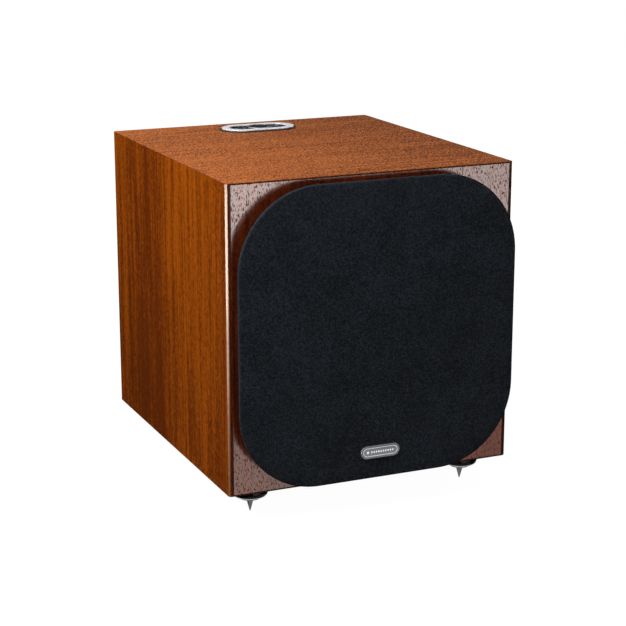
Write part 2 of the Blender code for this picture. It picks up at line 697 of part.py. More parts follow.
def make_rocker():
    """Power switch: a frame clipped into the plate and a rocker on a cross axis."""
    place = on_plate(ROCKER_AT)
    frame = part("rocker_frame", back_plate(0.0125, 0.0100, 0.0015, GAP, 0.0022),
                 "black_plastic", place, FACING_BACK)
    body = back_plate(0.0106, 0.0080, 0.001, -0.0150, 0.0010)
    boolean(frame, cutter(body, place, FACING_BACK), "UNION")
    well = back_plate(ROCKER_HALF[0] + 0.0004, ROCKER_HALF[1] + 0.0004, 0.0005, -0.0130, 0.01)
    boolean(frame, cutter(well, place, FACING_BACK))

    half_x, half_z = ROCKER_HALF
    reach, crown, root = half_z - 0.0012, 0.0034, -0.0080
    outline = [(-reach, crown), (0, crown - 0.0016), (reach, crown), (reach * 0.55, root),
               (-reach * 0.55, root)]
    # Drawn in the plane across the switch, then thickened along its axis.
    rocker = plate([list(reversed(outline))], -half_x, half_x)
    bm = bmesh.new()
    bm.from_mesh(rocker)
    for vertex in bm.verts:
        vertex.co = Vector((vertex.co.z, vertex.co.y, vertex.co.x))
    bmesh.ops.transform(bm, matrix=Matrix.Rotation(ROCKER_TILT, 4, "X"), verts=bm.verts)
    part("power_rocker", mesh_of(bm), "black_plastic", place)


def make_sockets():
    sleeve, lip, bore = 0.0042, 0.0062, 0.0017
    for name, place in RCA_PLACES.items():
        turned(name, [(sleeve, 0.0095), (sleeve, 0.0016), (lip, 0.0016), (lip, GAP),
                      (sleeve, GAP), (sleeve, -0.0120), (bore, -0.0120), (bore, 0.0095)],
               "gold", on_plate(place), FACING_BACK, 20)
    nut, thread, hole = 0.0052, 0.0030, 0.0018
    turned("trigger_jack", [(nut, 0.0022), (nut, GAP), (thread, GAP), (thread, -0.0120),
                            (hole, -0.0120), (hole, 0.0022)],
           "silver", on_plate(TRIGGER_AT), FACING_BACK, 16)


def make_rear_controls():
    grip, cap, shaft = 0.0088, 0.0080, 0.0030
    knob = turned("crossover_knob", [
        (0, KNOB_PROUD), (cap, KNOB_PROUD), (grip, 0.0020), (grip, 0.0006), (shaft, 0.0006),
        (shaft, -0.0120), (0, -0.0120),
    ], "black_plastic", on_plate(CROSSOVER_AT), FACING_BACK, 24)
    pointer = back_plate(0.0006, 0.0030, 0.0003, KNOB_PROUD - 0.0010, KNOB_PROUD + 0.01)
    boolean(knob, cutter(pointer, on_plate(CROSSOVER_AT, 0.0052), FACING_BACK))
    for name, place, offset in (("phase_switch", PHASE_AT, -SWITCH_TRAVEL), ("auto_switch", AUTO_AT, 0)):
        lever = back_plate(0.0022, 0.0020, 0.0004, -0.0080, 0.0018)
        part(name, lever, "black_plastic", on_plate(place) + Vector((offset, 0, 0)), FACING_BACK)


def make_amplifier():
    make_amp_plate()
    make_amp_shell()
    make_electronics()
    make_mains_inlet()
    make_rocker()
    make_sockets()
    make_rear_controls()


# ---------------------------------------------------------------- feet and inner soft parts
def make_feet():
    """Moulded cup and one-piece steel spike with a collar, at each corner."""
    cup_low, collar_low, cone_top = -0.0173, -0.0198, -0.0228
    for corner, x, y in spike_places():
        place = (x, y, BOTTOM)
        turned(f"foot_cup_{corner}", [
            (0.0205, -GAP), (0.0215, -0.0100), (0.0208, -0.0136), (0.0188, -0.0160),
            (0.0155, cup_low), (SPIKE_BORE, cup_low), (SPIKE_BORE, -GAP),
        ], "gloss_black", place, steps=20)
        turned(f"spike_{corner}", [
            (0, 0.0120), (SPIKE_SHANK, 0.0108), (SPIKE_SHANK, cup_low - GAP),
            (0.0125, cup_low - GAP), (0.0125, collar_low), (SPIKE_SHANK, collar_low),
            (SPIKE_SHANK, cone_top), (0.0006, -SPIKE_LENGTH), (0, -SPIKE_LENGTH),
        ], "steel", place, steps=14)


def make_inner_parts():
    pad = part("acoustic_wadding", box((-0.150, FRONT + 0.062, BOTTOM + WALL + 0.001),
                                       (0.150, FRONT + 0.196, BOTTOM + 0.050)), "wadding")
    bevel(pad, 0.008, 2)
    terminal = DRIVER + Vector((0, 0.0445, -0.1275))
    gland = Vector((0.040, BACK - 0.0903, AMP_Z - 0.050))
    tube("speaker_lead", [
        terminal, terminal + Vector((0, 0.006, 0)), terminal + Vector((0, 0.012, 0)),
        terminal + Vector((0.004, 0.060, 0.022)),
        Vector((0.020, FRONT + 0.190, BOTTOM + 0.100)), gland - Vector((0, 0.035, 0.004)),
        gland - Vector((0, 0.010, 0)), gland,
    ], 0.0021, "cable")
    upper = CONTROLS + Vector((0, 0, -0.0223))
    lower = Vector((0, CONTROLS.y, AMP_Z + 0.1123))
    middle = (upper + lower) / 2
    tube("control_cable", [upper, upper - Vector((0, 0, 0.008)), middle + Vector((0.006, 0, 0)),
                           lower + Vector((0, 0, 0.008)), lower], 0.0020, "cable")


make_cabinet()
make_driver()
make_grille()
make_control_plate()
make_dial()
make_buttons()
make_amplifier()
make_feet()
make_inner_parts()
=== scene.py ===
import json
import math

import bmesh
import bpy
from mathutils import Matrix, Vector, noise


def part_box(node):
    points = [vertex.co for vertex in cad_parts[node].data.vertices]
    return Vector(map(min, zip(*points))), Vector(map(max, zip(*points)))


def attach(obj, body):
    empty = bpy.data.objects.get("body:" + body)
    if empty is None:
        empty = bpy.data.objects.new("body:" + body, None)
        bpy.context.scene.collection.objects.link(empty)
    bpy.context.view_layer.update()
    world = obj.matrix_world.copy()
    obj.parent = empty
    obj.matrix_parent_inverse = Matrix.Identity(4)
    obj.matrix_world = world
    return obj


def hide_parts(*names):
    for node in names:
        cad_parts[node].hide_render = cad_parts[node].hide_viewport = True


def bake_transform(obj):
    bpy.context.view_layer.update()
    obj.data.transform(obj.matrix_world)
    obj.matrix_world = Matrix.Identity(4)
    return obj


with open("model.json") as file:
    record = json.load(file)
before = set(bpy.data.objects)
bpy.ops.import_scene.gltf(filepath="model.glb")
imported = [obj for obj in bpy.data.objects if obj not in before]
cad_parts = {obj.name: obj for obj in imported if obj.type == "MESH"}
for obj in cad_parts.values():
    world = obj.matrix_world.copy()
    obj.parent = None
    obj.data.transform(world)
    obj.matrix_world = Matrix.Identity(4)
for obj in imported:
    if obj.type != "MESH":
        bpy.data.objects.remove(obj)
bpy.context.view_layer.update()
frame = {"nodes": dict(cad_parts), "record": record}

NODES = frame["nodes"]
MM = 0.001
SHARP = math.radians(50)
SMOOTH = 38

# ---- places, read from the frame
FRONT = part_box("front_baffle")[0].y
BAFFLE_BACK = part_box("front_baffle")[1].y
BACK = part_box("back_panel")[1].y
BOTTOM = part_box("bottom_panel")[0].z
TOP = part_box("top_panel")[1].z
HALF_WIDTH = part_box("right_side_panel")[1].x
MIDDLE_Y = (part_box("top_panel")[0].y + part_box("top_panel")[1].y) / 2
MIDDLE_Z = (BOTTOM + TOP) / 2
HALF_DEPTH = (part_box("top_panel")[1].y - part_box("top_panel")[0].y) / 2
HALF_HEIGHT = (TOP - BOTTOM) / 2
DRIVER = Vector((0, FRONT, MIDDLE_Z))


def middle(node):
    low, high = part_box(node)
    return (low + high) / 2


def half_size(node):
    low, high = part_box(node)
    return (high - low) / 2


DIAL = Vector((middle("volume_dial").x, middle("volume_dial").y, TOP))
AMP = Vector((middle("amp_plate").x, BACK, middle("amp_plate").z))


# ---- outlines
def mm(points):
    """Points given in millimetres, in metres."""
    return [(u * MM, v * MM) for u, v in points]


def rounded(half_u, half_v, radius, steps=8):
    """Corner-rounded rectangle about the origin, counter-clockwise."""
    points = []
    for turn, (su, sv) in enumerate(((1, 1), (-1, 1), (-1, -1), (1, -1))):
        for step in range(steps + 1):
            angle = math.pi / 2 * (turn + step / steps)
            points.append((su * (half_u - radius) + radius * math.cos(angle),
                           sv * (half_v - radius) + radius * math.sin(angle)))
    return points


def circle(radius, steps):
    turns = (2 * math.pi * k / steps for k in range(steps))
    return [(radius * math.cos(a), radius * math.sin(a)) for a in turns]


def eased(points, radius, steps=4, closed=True):
    """The same line with each corner turned into a small arc that its two sides have room for."""
    result = []
    count = len(points)
    for k, point in enumerate(points):
        if not closed and k in (0, count - 1):
            result.append(tuple(point))
            continue
        corner = Vector(point)
        back, ahead = Vector(points[k - 1]) - corner, Vector(points[(k + 1) % count]) - corner
        reach = min(radius, back.length * 0.48, ahead.length * 0.48)
        start, end = corner + back.normalized() * reach, corner + ahead.normalized() * reach
        for step in range(steps + 1):
            t = step / steps
            result.append(tuple(start * (1 - t) ** 2 + corner * (2 * t * (1 - t)) + end * t ** 2))
    return result


# ---- meshes
FACING = {
    "up": Matrix.Identity(4),
    "down": Matrix.Rotation(math.pi, 4, "X"),
    "front": Matrix.Rotation(math.pi / 2, 4, "X"),
    "back": Matrix.Rotation(math.pi, 4, "Z") @ Matrix.Rotation(math.pi / 2, 4, "X"),
}


def finished(bm, place=(0, 0, 0), facing="up", sharp=SMOOTH):
    """A mesh from bm, put in its place. Edges over sharp degrees stay sharp, the rest is smooth."""
    bmesh.ops.recalc_face_normals(bm, faces=bm.faces)
    bmesh.ops.transform(bm, matrix=Matrix.Translation(place) @ FACING[facing], verts=bm.verts)
    mesh = bpy.data.meshes.new("shape")
    bm.to_mesh(mesh)
    bm.free()
    mesh.shade_smooth()
    mesh.set_sharp_from_angle(angle=math.radians(sharp))
    return mesh


def skinned(rings, closed=False):
    """Skins a row of rings with equally many points. An open row is capped; a one-point ring is a pole."""
    bm = bmesh.new()
    made = [[bm.verts.new(p) for p in ring] for ring in rings]
    pairs = list(zip(made, made[1:])) + ([(made[-1], made[0])] if closed else [])
    for ring, after in pairs:
        count = max(len(ring), len(after))
        for k in range(count):
            n = (k + 1) % count
            if len(ring) == 1:
                corners = (ring[0], after[n], after[k])
            elif len(after) == 1:
                corners = (ring[k], ring[n], after[0])
            else:
                corners = (ring[k], ring[n], after[n], after[k])
            bm.faces.new(corners)
    if not closed:
        for ring in (made[0], made[-1]):
            if len(ring) > 2:
                bm.faces.new(ring)
    return bm


def turned(profile, place=(0, 0, 0), facing="up", steps=96, ease=0.0):
    """Turns (radius, height) points about the axis. A profile that starts and ends on it is solid."""
    closed = profile[0][0] > 0
    points = eased(profile, ease, closed=closed) if ease else profile
    rings = []
    for radius, height in points:
        ring = [(u, v, height) for u, v in circle(radius, steps)] if radius > 1e-7 else [(0, 0, height)]
        rings.append(ring)
    return finished(skinned(rings, closed), place, facing)


def plate(outline, profile, place=(0, 0, 0), facing="up"):
    """A plate whose rim follows profile, (inset, height) points; outline(inset) gives each ring."""
    rings = [[(u, v, height) for u, v in outline(inset)] for inset, height in profile]
    return finished(skinned(rings), place, facing)


def slab(half_u, half_v, radius, low, high, edge, place=(0, 0, 0), facing="up", steps=8):
    """A corner-rounded plate from height low to high, with its two rims eased by edge."""
    profile = eased([(edge * 3, low), (0, low), (0, high), (edge * 3, high)], edge, closed=False)
    return plate(lambda inset: rounded(half_u - inset, half_v - inset, max(radius - inset, edge / 2), steps),
                 profile, place, facing)


def frame_ring(outer, inner, low, high, edge, place, facing="up", steps=24):
    """A ring between two corner-rounded outlines (half_u, half_v, radius), with every rim eased."""
    def ring(half_u, half_v, radius, inset, height):
        return [(u, v, height) for u, v in rounded(half_u - inset, half_v - inset, radius - inset, steps)]
    outside = eased([(edge * 2.2, low), (0, low), (0, high), (edge * 2.2, high)], edge, closed=False)
    inside = eased([(-edge * 2.2, high), (0, high), (0, low), (-edge * 2.2, low)], edge, closed=False)
    rings = [ring(*outer, inset, height) for inset, height in outside]
    rings += [ring(*inner, inset, height) for inset, height in inside]
    return finished(skinned(rings, closed=True), place, facing)


def joined(*meshes):
    """One mesh that holds several, each a closed shell of its own."""
    bm = bmesh.new()
    for mesh in meshes:
        bm.from_mesh(mesh)
        bpy.data.meshes.remove(mesh)
    mesh = bpy.data.meshes.new("shape")
    bm.to_mesh(mesh)
    bm.free()
    return mesh


def loose(data, name="shape"):
    obj = bpy.data.objects.new(name, data)
    bpy.context.scene.collection.objects.link(obj)
    return obj


def ease_edges(obj, width, segments):
    bevel = obj.modifiers.new("ease", "BEVEL")
    bevel.width = width
    bevel.segments = segments
    bevel.limit_method = "ANGLE"
    bevel.angle_limit = SHARP


def carved(mesh, cutters, ease=0.0):
    """mesh with the cutter meshes taken out of it and the new edges eased."""
    body = loose(mesh)
    tools = [loose(cutter) for cutter in cutters]
    for tool in tools:
        cut = body.modifiers.new("cut", "BOOLEAN")
        cut.operation = "DIFFERENCE"
        cut.object = tool
        cut.solver = "EXACT"
    if ease:
        ease_edges(body, ease, 3)
    graph = bpy.context.evaluated_depsgraph_get()
    result = bpy.data.meshes.new_from_object(body.evaluated_get(graph))
    for obj in (body, *tools):
        bpy.data.objects.remove(obj)
    result.shade_smooth()
    result.set_sharp_from_angle(angle=math.radians(SMOOTH))
    return evened(result)


def evened(mesh):
    """mesh with normals that lean to its widest faces, so flats stay flat beside eased edges."""
    body = loose(mesh)
    even = body.modifiers.new("even", "WEIGHTED_NORMAL")
    even.keep_sharp = True
    result = bpy.data.meshes.new_from_object(body.evaluated_get(bpy.context.evaluated_depsgraph_get()))
    bpy.data.objects.remove(body)
    return result


def box_mesh(low, high):
    bm = bmesh.new()
    bmesh.ops.create_cube(bm, size=1)
    fit = Matrix.Translation((low + high) / 2) @ Matrix.Diagonal((*(high - low), 1))
    bmesh.ops.transform(bm, matrix=fit, verts=bm.verts)
    return finished(bm)


# ---- materials
def set_stops(ramp_node, stops):
    """Gives a colour ramp its (place, grey level) stops."""
    elements = ramp_node.color_ramp.elements
    for k, (at, level) in enumerate(stops):
        stop = elements[k] if k < len(elements) else elements.new(at)
        stop.position = at
        stop.color = (level, level, level, 1)


class Finish:
    """A Principled material. Uniform values sit on the shader; colour, roughness and bump are nodes."""

    def __init__(self, name, **values):
        self.material = bpy.data.materials.new(name)
        self.material.use_nodes = True
        self.tree = self.material.node_tree
        self.shader = self.tree.nodes["Principled BSDF"]
        for key, value in values.items():
            self.shader.inputs[key.replace("_", " ").title().replace("Ior", "IOR")].default_value = value
        self.place = self.node("ShaderNodeTexCoord").outputs["Object"]

    def node(self, kind, values=(), **settings):
        made = self.tree.nodes.new(kind)
        for key, value in settings.items():
            setattr(made, key, value)
        for key, value in dict(values).items():
            if isinstance(value, bpy.types.NodeSocket):
                self.tree.links.new(value, made.inputs[key])
            else:
                made.inputs[key].default_value = value
        return made

    def stretched(self, scale, turn=(0, 0, 0)):
        values = {"Vector": self.place, "Scale": scale, "Rotation": turn}
        return self.node("ShaderNodeMapping", values).outputs[0]

    def noise(self, scale, stretch=(1, 1, 1), detail=2.0, distortion=0.0):
        return self.node("ShaderNodeTexNoise", {
            "Vector": self.stretched(stretch), "Scale": scale, "Detail": detail,
            "Distortion": distortion}).outputs["Fac"]

    def wave(self, axis, scale, distortion):
        values = {"Vector": self.place, "Scale": scale, "Distortion": distortion, "Detail": 1.0}
        return self.node("ShaderNodeTexWave", values, bands_direction=axis).outputs["Fac"]

    def math(self, operation, a, b=0.0):
        return self.node("ShaderNodeMath", {0: a, 1: b}, operation=operation).outputs[0]

    def spread(self, value, low, high, to_low=0.0, to_high=1.0):
        """value from low..high moved to to_low..to_high, and kept inside it."""
        return self.node("ShaderNodeMapRange", {
            "Value": value, "From Min": low, "From Max": high, "To Min": to_low, "To Max": to_high,
        }).outputs["Result"]

    def total(self, start, *terms):
        """start plus (value - 0.5) * gain of every (value, gain) term."""
        for value, gain in terms:
            start = self.math("ADD", start, self.math("MULTIPLY", self.math("SUBTRACT", value, 0.5), gain))
        return start

    def ramp(self, value, stops):
        """Grey levels at places from 0 to 1."""
        made = self.node("ShaderNodeValToRGB", {0: value})
        set_stops(made, stops)
        return made.outputs[0]

    def coordinate(self, axis):
        """The place along axis "X", "Y" or "Z"."""
        return self.node("ShaderNodeSeparateXYZ", {0: self.place}).outputs[axis]

    def blend(self, amount, first, second):
        made = self.node("ShaderNodeMix", data_type="RGBA")
        for key, value in ((0, amount), (6, first), (7, second)):
            if isinstance(value, bpy.types.NodeSocket):
                self.tree.links.new(value, made.inputs[key])
            else:
                made.inputs[key].default_value = (*value, 1) if isinstance(value, tuple) else value
        return made.outputs[2]

    def colour(self, socket):
        self.tree.links.new(socket, self.shader.inputs["Base Color"])

    def metallic(self, socket):
        self.tree.links.new(socket, self.shader.inputs["Metallic"])

    def roughness(self, socket):
        self.tree.links.new(socket, self.shader.inputs["Roughness"])

    def bump(self, height, distance, strength=1.0):
        made = self.node("ShaderNodeBump", {"Height": height, "Distance": distance, "Strength": strength})
        self.tree.links.new(made.outputs["Normal"], self.shader.inputs["Normal"])


def scaled(colour, amount):
    return tuple(min(1.0, c * amount) for c in colour)


DARK_WOOD = (0.125, 0.0210, 0.0008)
LIGHT_WOOD = (0.350, 0.0740, 0.0014)
SIDE_BANDS = ((0.0, 0.38), (0.07, 0.50), (0.15, 0.30), (0.21, 0.10), (0.34, 0.0), (0.44, 0.08), (0.50, 0.62),
              (0.60, 0.70), (0.72, 0.74), (0.84, 0.60), (0.93, 0.48), (1.0, 0.38))


def make_veneer(name, grain, dark=DARK_WOOD, light=LIGHT_WOOD, *, banded=False, broad=1.6, painted_light_fade=None,
                streaky=1.1, fleck=1.3, cell=520, fleck_shape=(1, 1, 0.6), knots=0.0,
                pore=900, slim=0.12, pore_cut=(0.56, 0.66), pored=0.55, pitted=0.0,
                rough=0.22, pore_rough=0.5, streak_rough=0.1, **values):
    """Lacquered red-brown veneer.

    grain is the index of the axis that its grain runs along. Its tone mixes broad bands (banded takes the
    side's own), painted light and shade as a fade along an axis, streaks, flecks of a shape and knots. Pores
    are thin along the grain, pored darkens them, and pitted takes away their gloss.
    """
    def along(amount):
        return tuple(amount if axis == grain else 1.0 for axis in range(3))

    made = Finish(name, **values)
    if banded:
        depth = made.total(made.coordinate("Y"), (made.noise(7, along(0.5), 2), 0.09))
        bands = made.ramp(made.spread(depth, BACK, FRONT), SIDE_BANDS)
    else:
        bands = made.total(0.5, (made.noise(16, along(0.16), 3, 0.6), broad))
    # painted light and shade: the tone grows lighter towards one end of the axis, where more light falls
    if painted_light_fade:
        axis, low, high, amount = painted_light_fade
        bands = made.total(bands, (made.spread(made.coordinate(axis), low, high), amount))
    streaks = made.noise(95, along(0.045), 3, 0.3)
    fine = made.noise(330, along(0.03), 2)
    flecks = made.noise(cell, fleck_shape, 1)
    amount = made.total(bands, (streaks, streaky), (fine, streaky), (flecks, fleck))
    body = made.blend(made.spread(amount, 0.0, 1.0), dark, light)
    lines = made.spread(made.noise(150, along(0.02), 2, 0.4), 0.30, 0.40, 0.55, 0.0)
    body = made.blend(lines, body, scaled(dark, 0.5))
    if knots:
        marks = made.spread(made.noise(42, along(0.4), 2, 1.0), 0.66, 0.74, 0.0, knots)
        body = made.blend(marks, body, scaled(dark, 0.4))
    pores = made.spread(made.noise(pore, along(slim), 1), *pore_cut)
    body = made.blend(made.math("MULTIPLY", pores, pored), body, scaled(dark, 0.3))
    made.colour(body)
    if pitted:
        made.metallic(made.math("MULTIPLY", pores, pitted))
    made.roughness(made.total(rough, (fine, streak_rough), (made.math("ADD", pores, 0.5), pore_rough)))
    made.bump(made.math("SUBTRACT", made.math("MULTIPLY", fine, 0.35), pores), 0.05 * MM, 0.35)
    return made.material


def make_mottled(name, dark, light, rough, grain, bump, stretch=(1, 1, 1), **values):
    """A moulded, cast or painted surface: two close tones, a fine texture of grain (mm) and its bump (mm)."""
    made = Finish(name, **values)
    cloudy = made.noise(18, stretch, 3)
    fine = made.noise(1 / (grain * MM), stretch, 2)
    made.colour(made.blend(made.spread(made.math("ADD", cloudy, fine), 0.75, 1.25), dark, light))
    made.roughness(made.spread(fine, 0.3, 0.7, *rough))
    made.bump(fine, bump * MM, 0.6)
    return made.material


def make_knit(name, shade=1.0):
    """Acoustically open knitted cloth: two crossing sets of loops about a millimetre apart."""
    made = Finish(name, specular_ior_level=0.03, sheen_weight=0.08, sheen_roughness=0.12,
                  sheen_tint=(1.0, 0.95, 0.95, 1))
    pitch = 1.05 * MM
    scale = 1 / pitch / 3.2
    loops, rows = made.wave("X", scale, 0.4), made.wave("Z", scale, 0.4)
    height = made.math("MULTIPLY", loops, rows)
    uneven = made.noise(26, (1, 1, 1), 3)
    thread = made.noise(620, (1, 1, 1), 1)
    tone = made.total(0.5, (height, 0.4), (uneven, 0.5), (thread, 1.8))
    made.colour(made.blend(made.spread(tone, 0.1, 0.9), scaled((0.018, 0.0222, 0.0282), shade),
                           scaled((0.076, 0.0890, 0.1110), shade)))
    made.roughness(made.spread(thread, 0.3, 0.7, 0.85, 0.98))
    made.bump(made.math("ADD", height, made.math("MULTIPLY", thread, 0.3)), 0.25 * MM, 0.8)
    return made.material


def make_brushed(name, dark, light, stretch, rough=(0.26, 0.40), **values):
    """Satin aluminium or steel with fine lines along the axis that stretch shortens."""
    made = Finish(name, metallic=1.0, **values)
    lines = made.noise(2600, stretch, 2)
    cloudy = made.noise(30, (1, 1, 1), 2)
    made.colour(made.blend(made.spread(made.math("ADD", lines, cloudy), 0.8, 1.2), dark, light))
    made.roughness(made.spread(lines, 0.3, 0.7, *rough))
    made.bump(lines, 0.01 * MM, 0.4)
    return made.material


def make_circuit(name):
    """Green solder mask over copper tracks, with tinned pads."""
    made = Finish(name, specular_ior_level=0.5)
    tracks = made.node("ShaderNodeTexBrick", {
        "Vector": made.stretched((1, 1, 1), (math.pi / 2, 0, 0)), "Scale": 90.0, "Mortar Size": 0.03,
        "Color1": (0, 0, 0, 1), "Color2": (0, 0, 0, 1), "Mortar": (1, 1, 1, 1)}).outputs["Color"]
    pads = made.node("ShaderNodeTexVoronoi", {"Vector": made.place, "Scale": 260.0}).outputs["Distance"]
    pads = made.spread(pads, 0.18, 0.14)
    mask = made.blend(tracks, (0.006, 0.075, 0.028), (0.020, 0.150, 0.055))
    made.colour(made.blend(pads, mask, (0.62, 0.60, 0.52)))
    made.roughness(made.spread(pads, 0, 1, 0.42, 0.25))
    made.bump(made.math("ADD", tracks, pads), 0.05 * MM, 0.6)
    return made.material


def make_fibre(name, dark, light, size, bump, rough=(0.88, 1.0), **values):
    """Felted or bonded fibres, size across and bump high (mm), as in wadding, foam or treated cloth."""
    made = Finish(name, specular_ior_level=0.1, **values)
    hairs = made.noise(1 / (size * MM), (1, 1, 0.35), 4, 2.5)
    lumps = made.noise(0.12 / (size * MM), (1, 1, 1), 3)
    made.colour(made.blend(made.spread(made.math("ADD", hairs, lumps), 0.7, 1.3), dark, light))
    made.roughness(made.spread(hairs, 0.3, 0.7, *rough))
    made.bump(made.math("ADD", hairs, lumps), bump * MM, 0.9)
    return made.material


def grey(value):
    return (value, value, value * 1.04)


# The sides carry painted light: their tone fades lighter towards the top, where more light falls.
SIDE_VENEER = make_veneer("side_veneer", 2, banded=True, painted_light_fade=("Z", BOTTOM, TOP, 0.24), streaky=2.0,
                          fleck=2.6, rough=0.34, pore_rough=0.1, specular_ior_level=0.06)
NOSE_VENEER = make_veneer("nose_veneer", 2, pored=0.0, rough=0.14, pore_rough=0.0, ior=1.6)
# The top carries painted light: its tone fades lighter towards the left, the key lamp's side, and darker to
# the right.
TOP_VENEER = make_veneer("top_veneer", 0, (0.135, 0.0290, 0.0045), (0.505, 0.1430, 0.0290), broad=0.8,
                         painted_light_fade=("X", HALF_WIDTH, -HALF_WIDTH, 0.55), streaky=1.3, fleck=6.0, cell=720,
                         fleck_shape=(0.8, 0.42, 1), knots=0.6, pore=1100, slim=0.5, pored=0.35,
                         rough=0.50, pore_rough=0.3, ior=1.40, specular_ior_level=0.2)
FRONT_VENEER = make_veneer("front_veneer", 2, (0.100, 0.0100, 0.0010), (0.340, 0.0540, 0.0080), broad=0.8,
                           streaky=1.3, pore=1000, slim=0.25, pore_cut=(0.55, 0.65), pored=0.95,
                           pitted=0.85, rough=0.20, pore_rough=0.3, streak_rough=0.3, ior=2.0,
                           specular_tint=(1.0, 0.93, 0.90, 1))
BACK_VENEER = make_veneer("back_veneer", 2)
# Darker veneer for the eased top and bottom edges, also used as painted shade for the seam beside the baffle.
DARK_EDGE_AND_SEAM_SHADE = make_veneer("dark_edge_and_seam_shade_veneer", 2, (0.060, 0.0090, 0.0005), (0.150, 0.0240, 0.0014), rough=0.45,
                          specular_ior_level=0.1)
CLOTH = make_knit("grille_knit")
# A darker copy of the knit: painted shade for the cloth where it rolls over the grille's edge.
CLOTH_RIM_SHADE = make_knit("grille_knit_rim_shade", 0.55)
SATIN_BLACK = make_mottled("satin_black", grey(0.012), grey(0.022), (0.38, 0.52), 0.5, 0.03)
GLOSS_BLACK = make_mottled("gloss_black_fine", (0.004, 0.0045, 0.007), (0.008, 0.009, 0.013), (0.10, 0.18),
                           1.5, 0.004, specular_ior_level=0.2)
RUBBER = make_mottled("rubber_fine", grey(0.006), grey(0.011), (0.62, 0.78), 0.6, 0.04)
SILVER = make_mottled("satin_silver", grey(0.88), grey(0.94), (0.30, 0.42), 0.4, 0.005,
                      (0.05, 1, 1), metallic=0.25)
DIAL_EDGE = make_brushed("dial_chamfer", grey(0.55), grey(0.65), (1, 1, 1), (0.40, 0.50))
STEEL = make_mottled("turned_steel", grey(0.24), grey(0.32), (0.28, 0.40), 0.5, 0.01, (1, 1, 6),
                     metallic=0.75)
BADGE = make_brushed("badge_metal", (0.120, 0.148, 0.168), (0.160, 0.195, 0.220), (0.05, 1, 1), (0.34, 0.46))
BADGE_RIM = make_mottled("badge_rim", (0.125, 0.140, 0.150), (0.155, 0.175, 0.185), (0.36, 0.44),
                         0.5, 0.01, metallic=0.8)
PALE_METAL = make_mottled("badge_line", (0.70, 0.80, 0.86), (0.80, 0.90, 0.95), (0.36, 0.44),
                          0.5, 0.01, metallic=0.8)
ALLOY = make_mottled("cast_alloy_fine", grey(0.05), grey(0.09), (0.45, 0.62), 0.9, 0.06,
                     metallic=0.5)
CONE = make_mottled("anodised_cone", grey(0.42), grey(0.50), (0.30, 0.38), 0.35, 0.01, metallic=0.9)
COPPER = make_brushed("wound_copper", (0.45, 0.16, 0.06), (0.75, 0.34, 0.16), (1, 12, 1))
FORMER = make_fibre("coil_former", (0.42, 0.30, 0.12), (0.62, 0.48, 0.25), 0.6, 0.03, (0.4, 0.6))
SPIDER = make_fibre("treated_cloth", (0.36, 0.20, 0.04), (0.62, 0.40, 0.11), 0.9, 0.15)
FERRITE = make_mottled("ferrite_fine", grey(0.030), grey(0.055), (0.60, 0.80), 0.7, 0.08)
PLATE_BLACK = make_mottled("amp_powder_coat", grey(0.014), grey(0.026), (0.42, 0.60), 0.45, 0.07)
FOAM = make_fibre("closed_cell_foam", grey(0.015), grey(0.030), 0.8, 0.12)
CIRCUIT = make_circuit("circuit_board")
WADDING = make_fibre("polyester_wadding", (0.62, 0.62, 0.60), (0.90, 0.90, 0.88), 1.4, 0.9,
                     sheen_weight=0.4)
GOLD = make_brushed("gold_plate", (0.72, 0.48, 0.16), (0.90, 0.66, 0.26), (1, 20, 1), (0.16, 0.26))
CABLE = make_mottled("cable_jacket", (0.30, 0.012, 0.012), (0.42, 0.020, 0.018), (0.42, 0.58),
                     0.8, 0.03)
BOARD = make_fibre("fibre_board", (0.30, 0.20, 0.12), (0.48, 0.35, 0.23), 1.2, 0.08, (0.75, 0.92))
WHITE_INK = make_mottled("white_ink", grey(0.62), grey(0.72), (0.50, 0.62), 0.4, 0.01)
RED_PLASTIC = make_mottled("red_plastic", (0.42, 0.012, 0.010), (0.52, 0.020, 0.016), (0.3, 0.42),
                           0.6, 0.02)
WHITE_PLASTIC = make_mottled("white_plastic", grey(0.60), grey(0.70), (0.3, 0.42), 0.6, 0.02)

SLOT_FINISH = {
    "veneer": BACK_VENEER, "board": BOARD, "cloth": CLOTH, "black_plastic": SATIN_BLACK,
    "gloss_black": GLOSS_BLACK, "rubber": RUBBER, "silver": SILVER, "steel": STEEL, "badge": BADGE,
    "cast_alloy": ALLOY, "cone": CONE, "copper": COPPER, "former": FORMER, "spider": SPIDER,
    "ferrite": FERRITE, "amp_plate": PLATE_BLACK, "foam": FOAM, "circuit": CIRCUIT,
    "wadding": WADDING, "gold": GOLD, "cable": CABLE,
}
NODE_SLOT = {entry["node"]: entry["material_slot"] for entry in frame["record"]["subparts"]}
NODE_BODY = {node: body for body, nodes in frame["record"]["behaviour"]["bodies"].items() for node in nodes}


# ---- pieces
def piece(name, mesh, body, materials, replaced=()):
    """A visible piece that rides on a body, with its finish and the CAD nodes it stands for."""
    obj = loose(mesh, name)
    for material in materials if isinstance(materials, (list, tuple)) else [materials]:
        mesh.materials.append(material)
    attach(obj, body)
    if replaced:
        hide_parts(*([replaced] if isinstance(replaced, str) else replaced))
    return obj


def finish_of(node):
    return SLOT_FINISH[NODE_SLOT[node]]


def stands_for(node, mesh, materials=None):
    """A finer piece in place of one CAD node, on the same body and from the same slot."""
    return piece(f"{node}_fine", mesh, NODE_BODY[node], materials or finish_of(node), node)


def paint(mesh, test, index=1):
    """Gives material index to the faces for which test(centre, normal) holds."""
    for face in mesh.polygons:
        if test(face.center, face.normal):
            face.material_index = index
    return mesh


EASE = {"window_brace": 1.0 * MM, "amp_housing": 0.8 * MM, "amp_plate": 0.5 * MM, "back_panel": 0.6 * MM,
        "grille_frame": 0.4 * MM, "driver_basket": 0.5 * MM}
USUAL_EASE = 0.3 * MM
WELD = 0.01 * MM


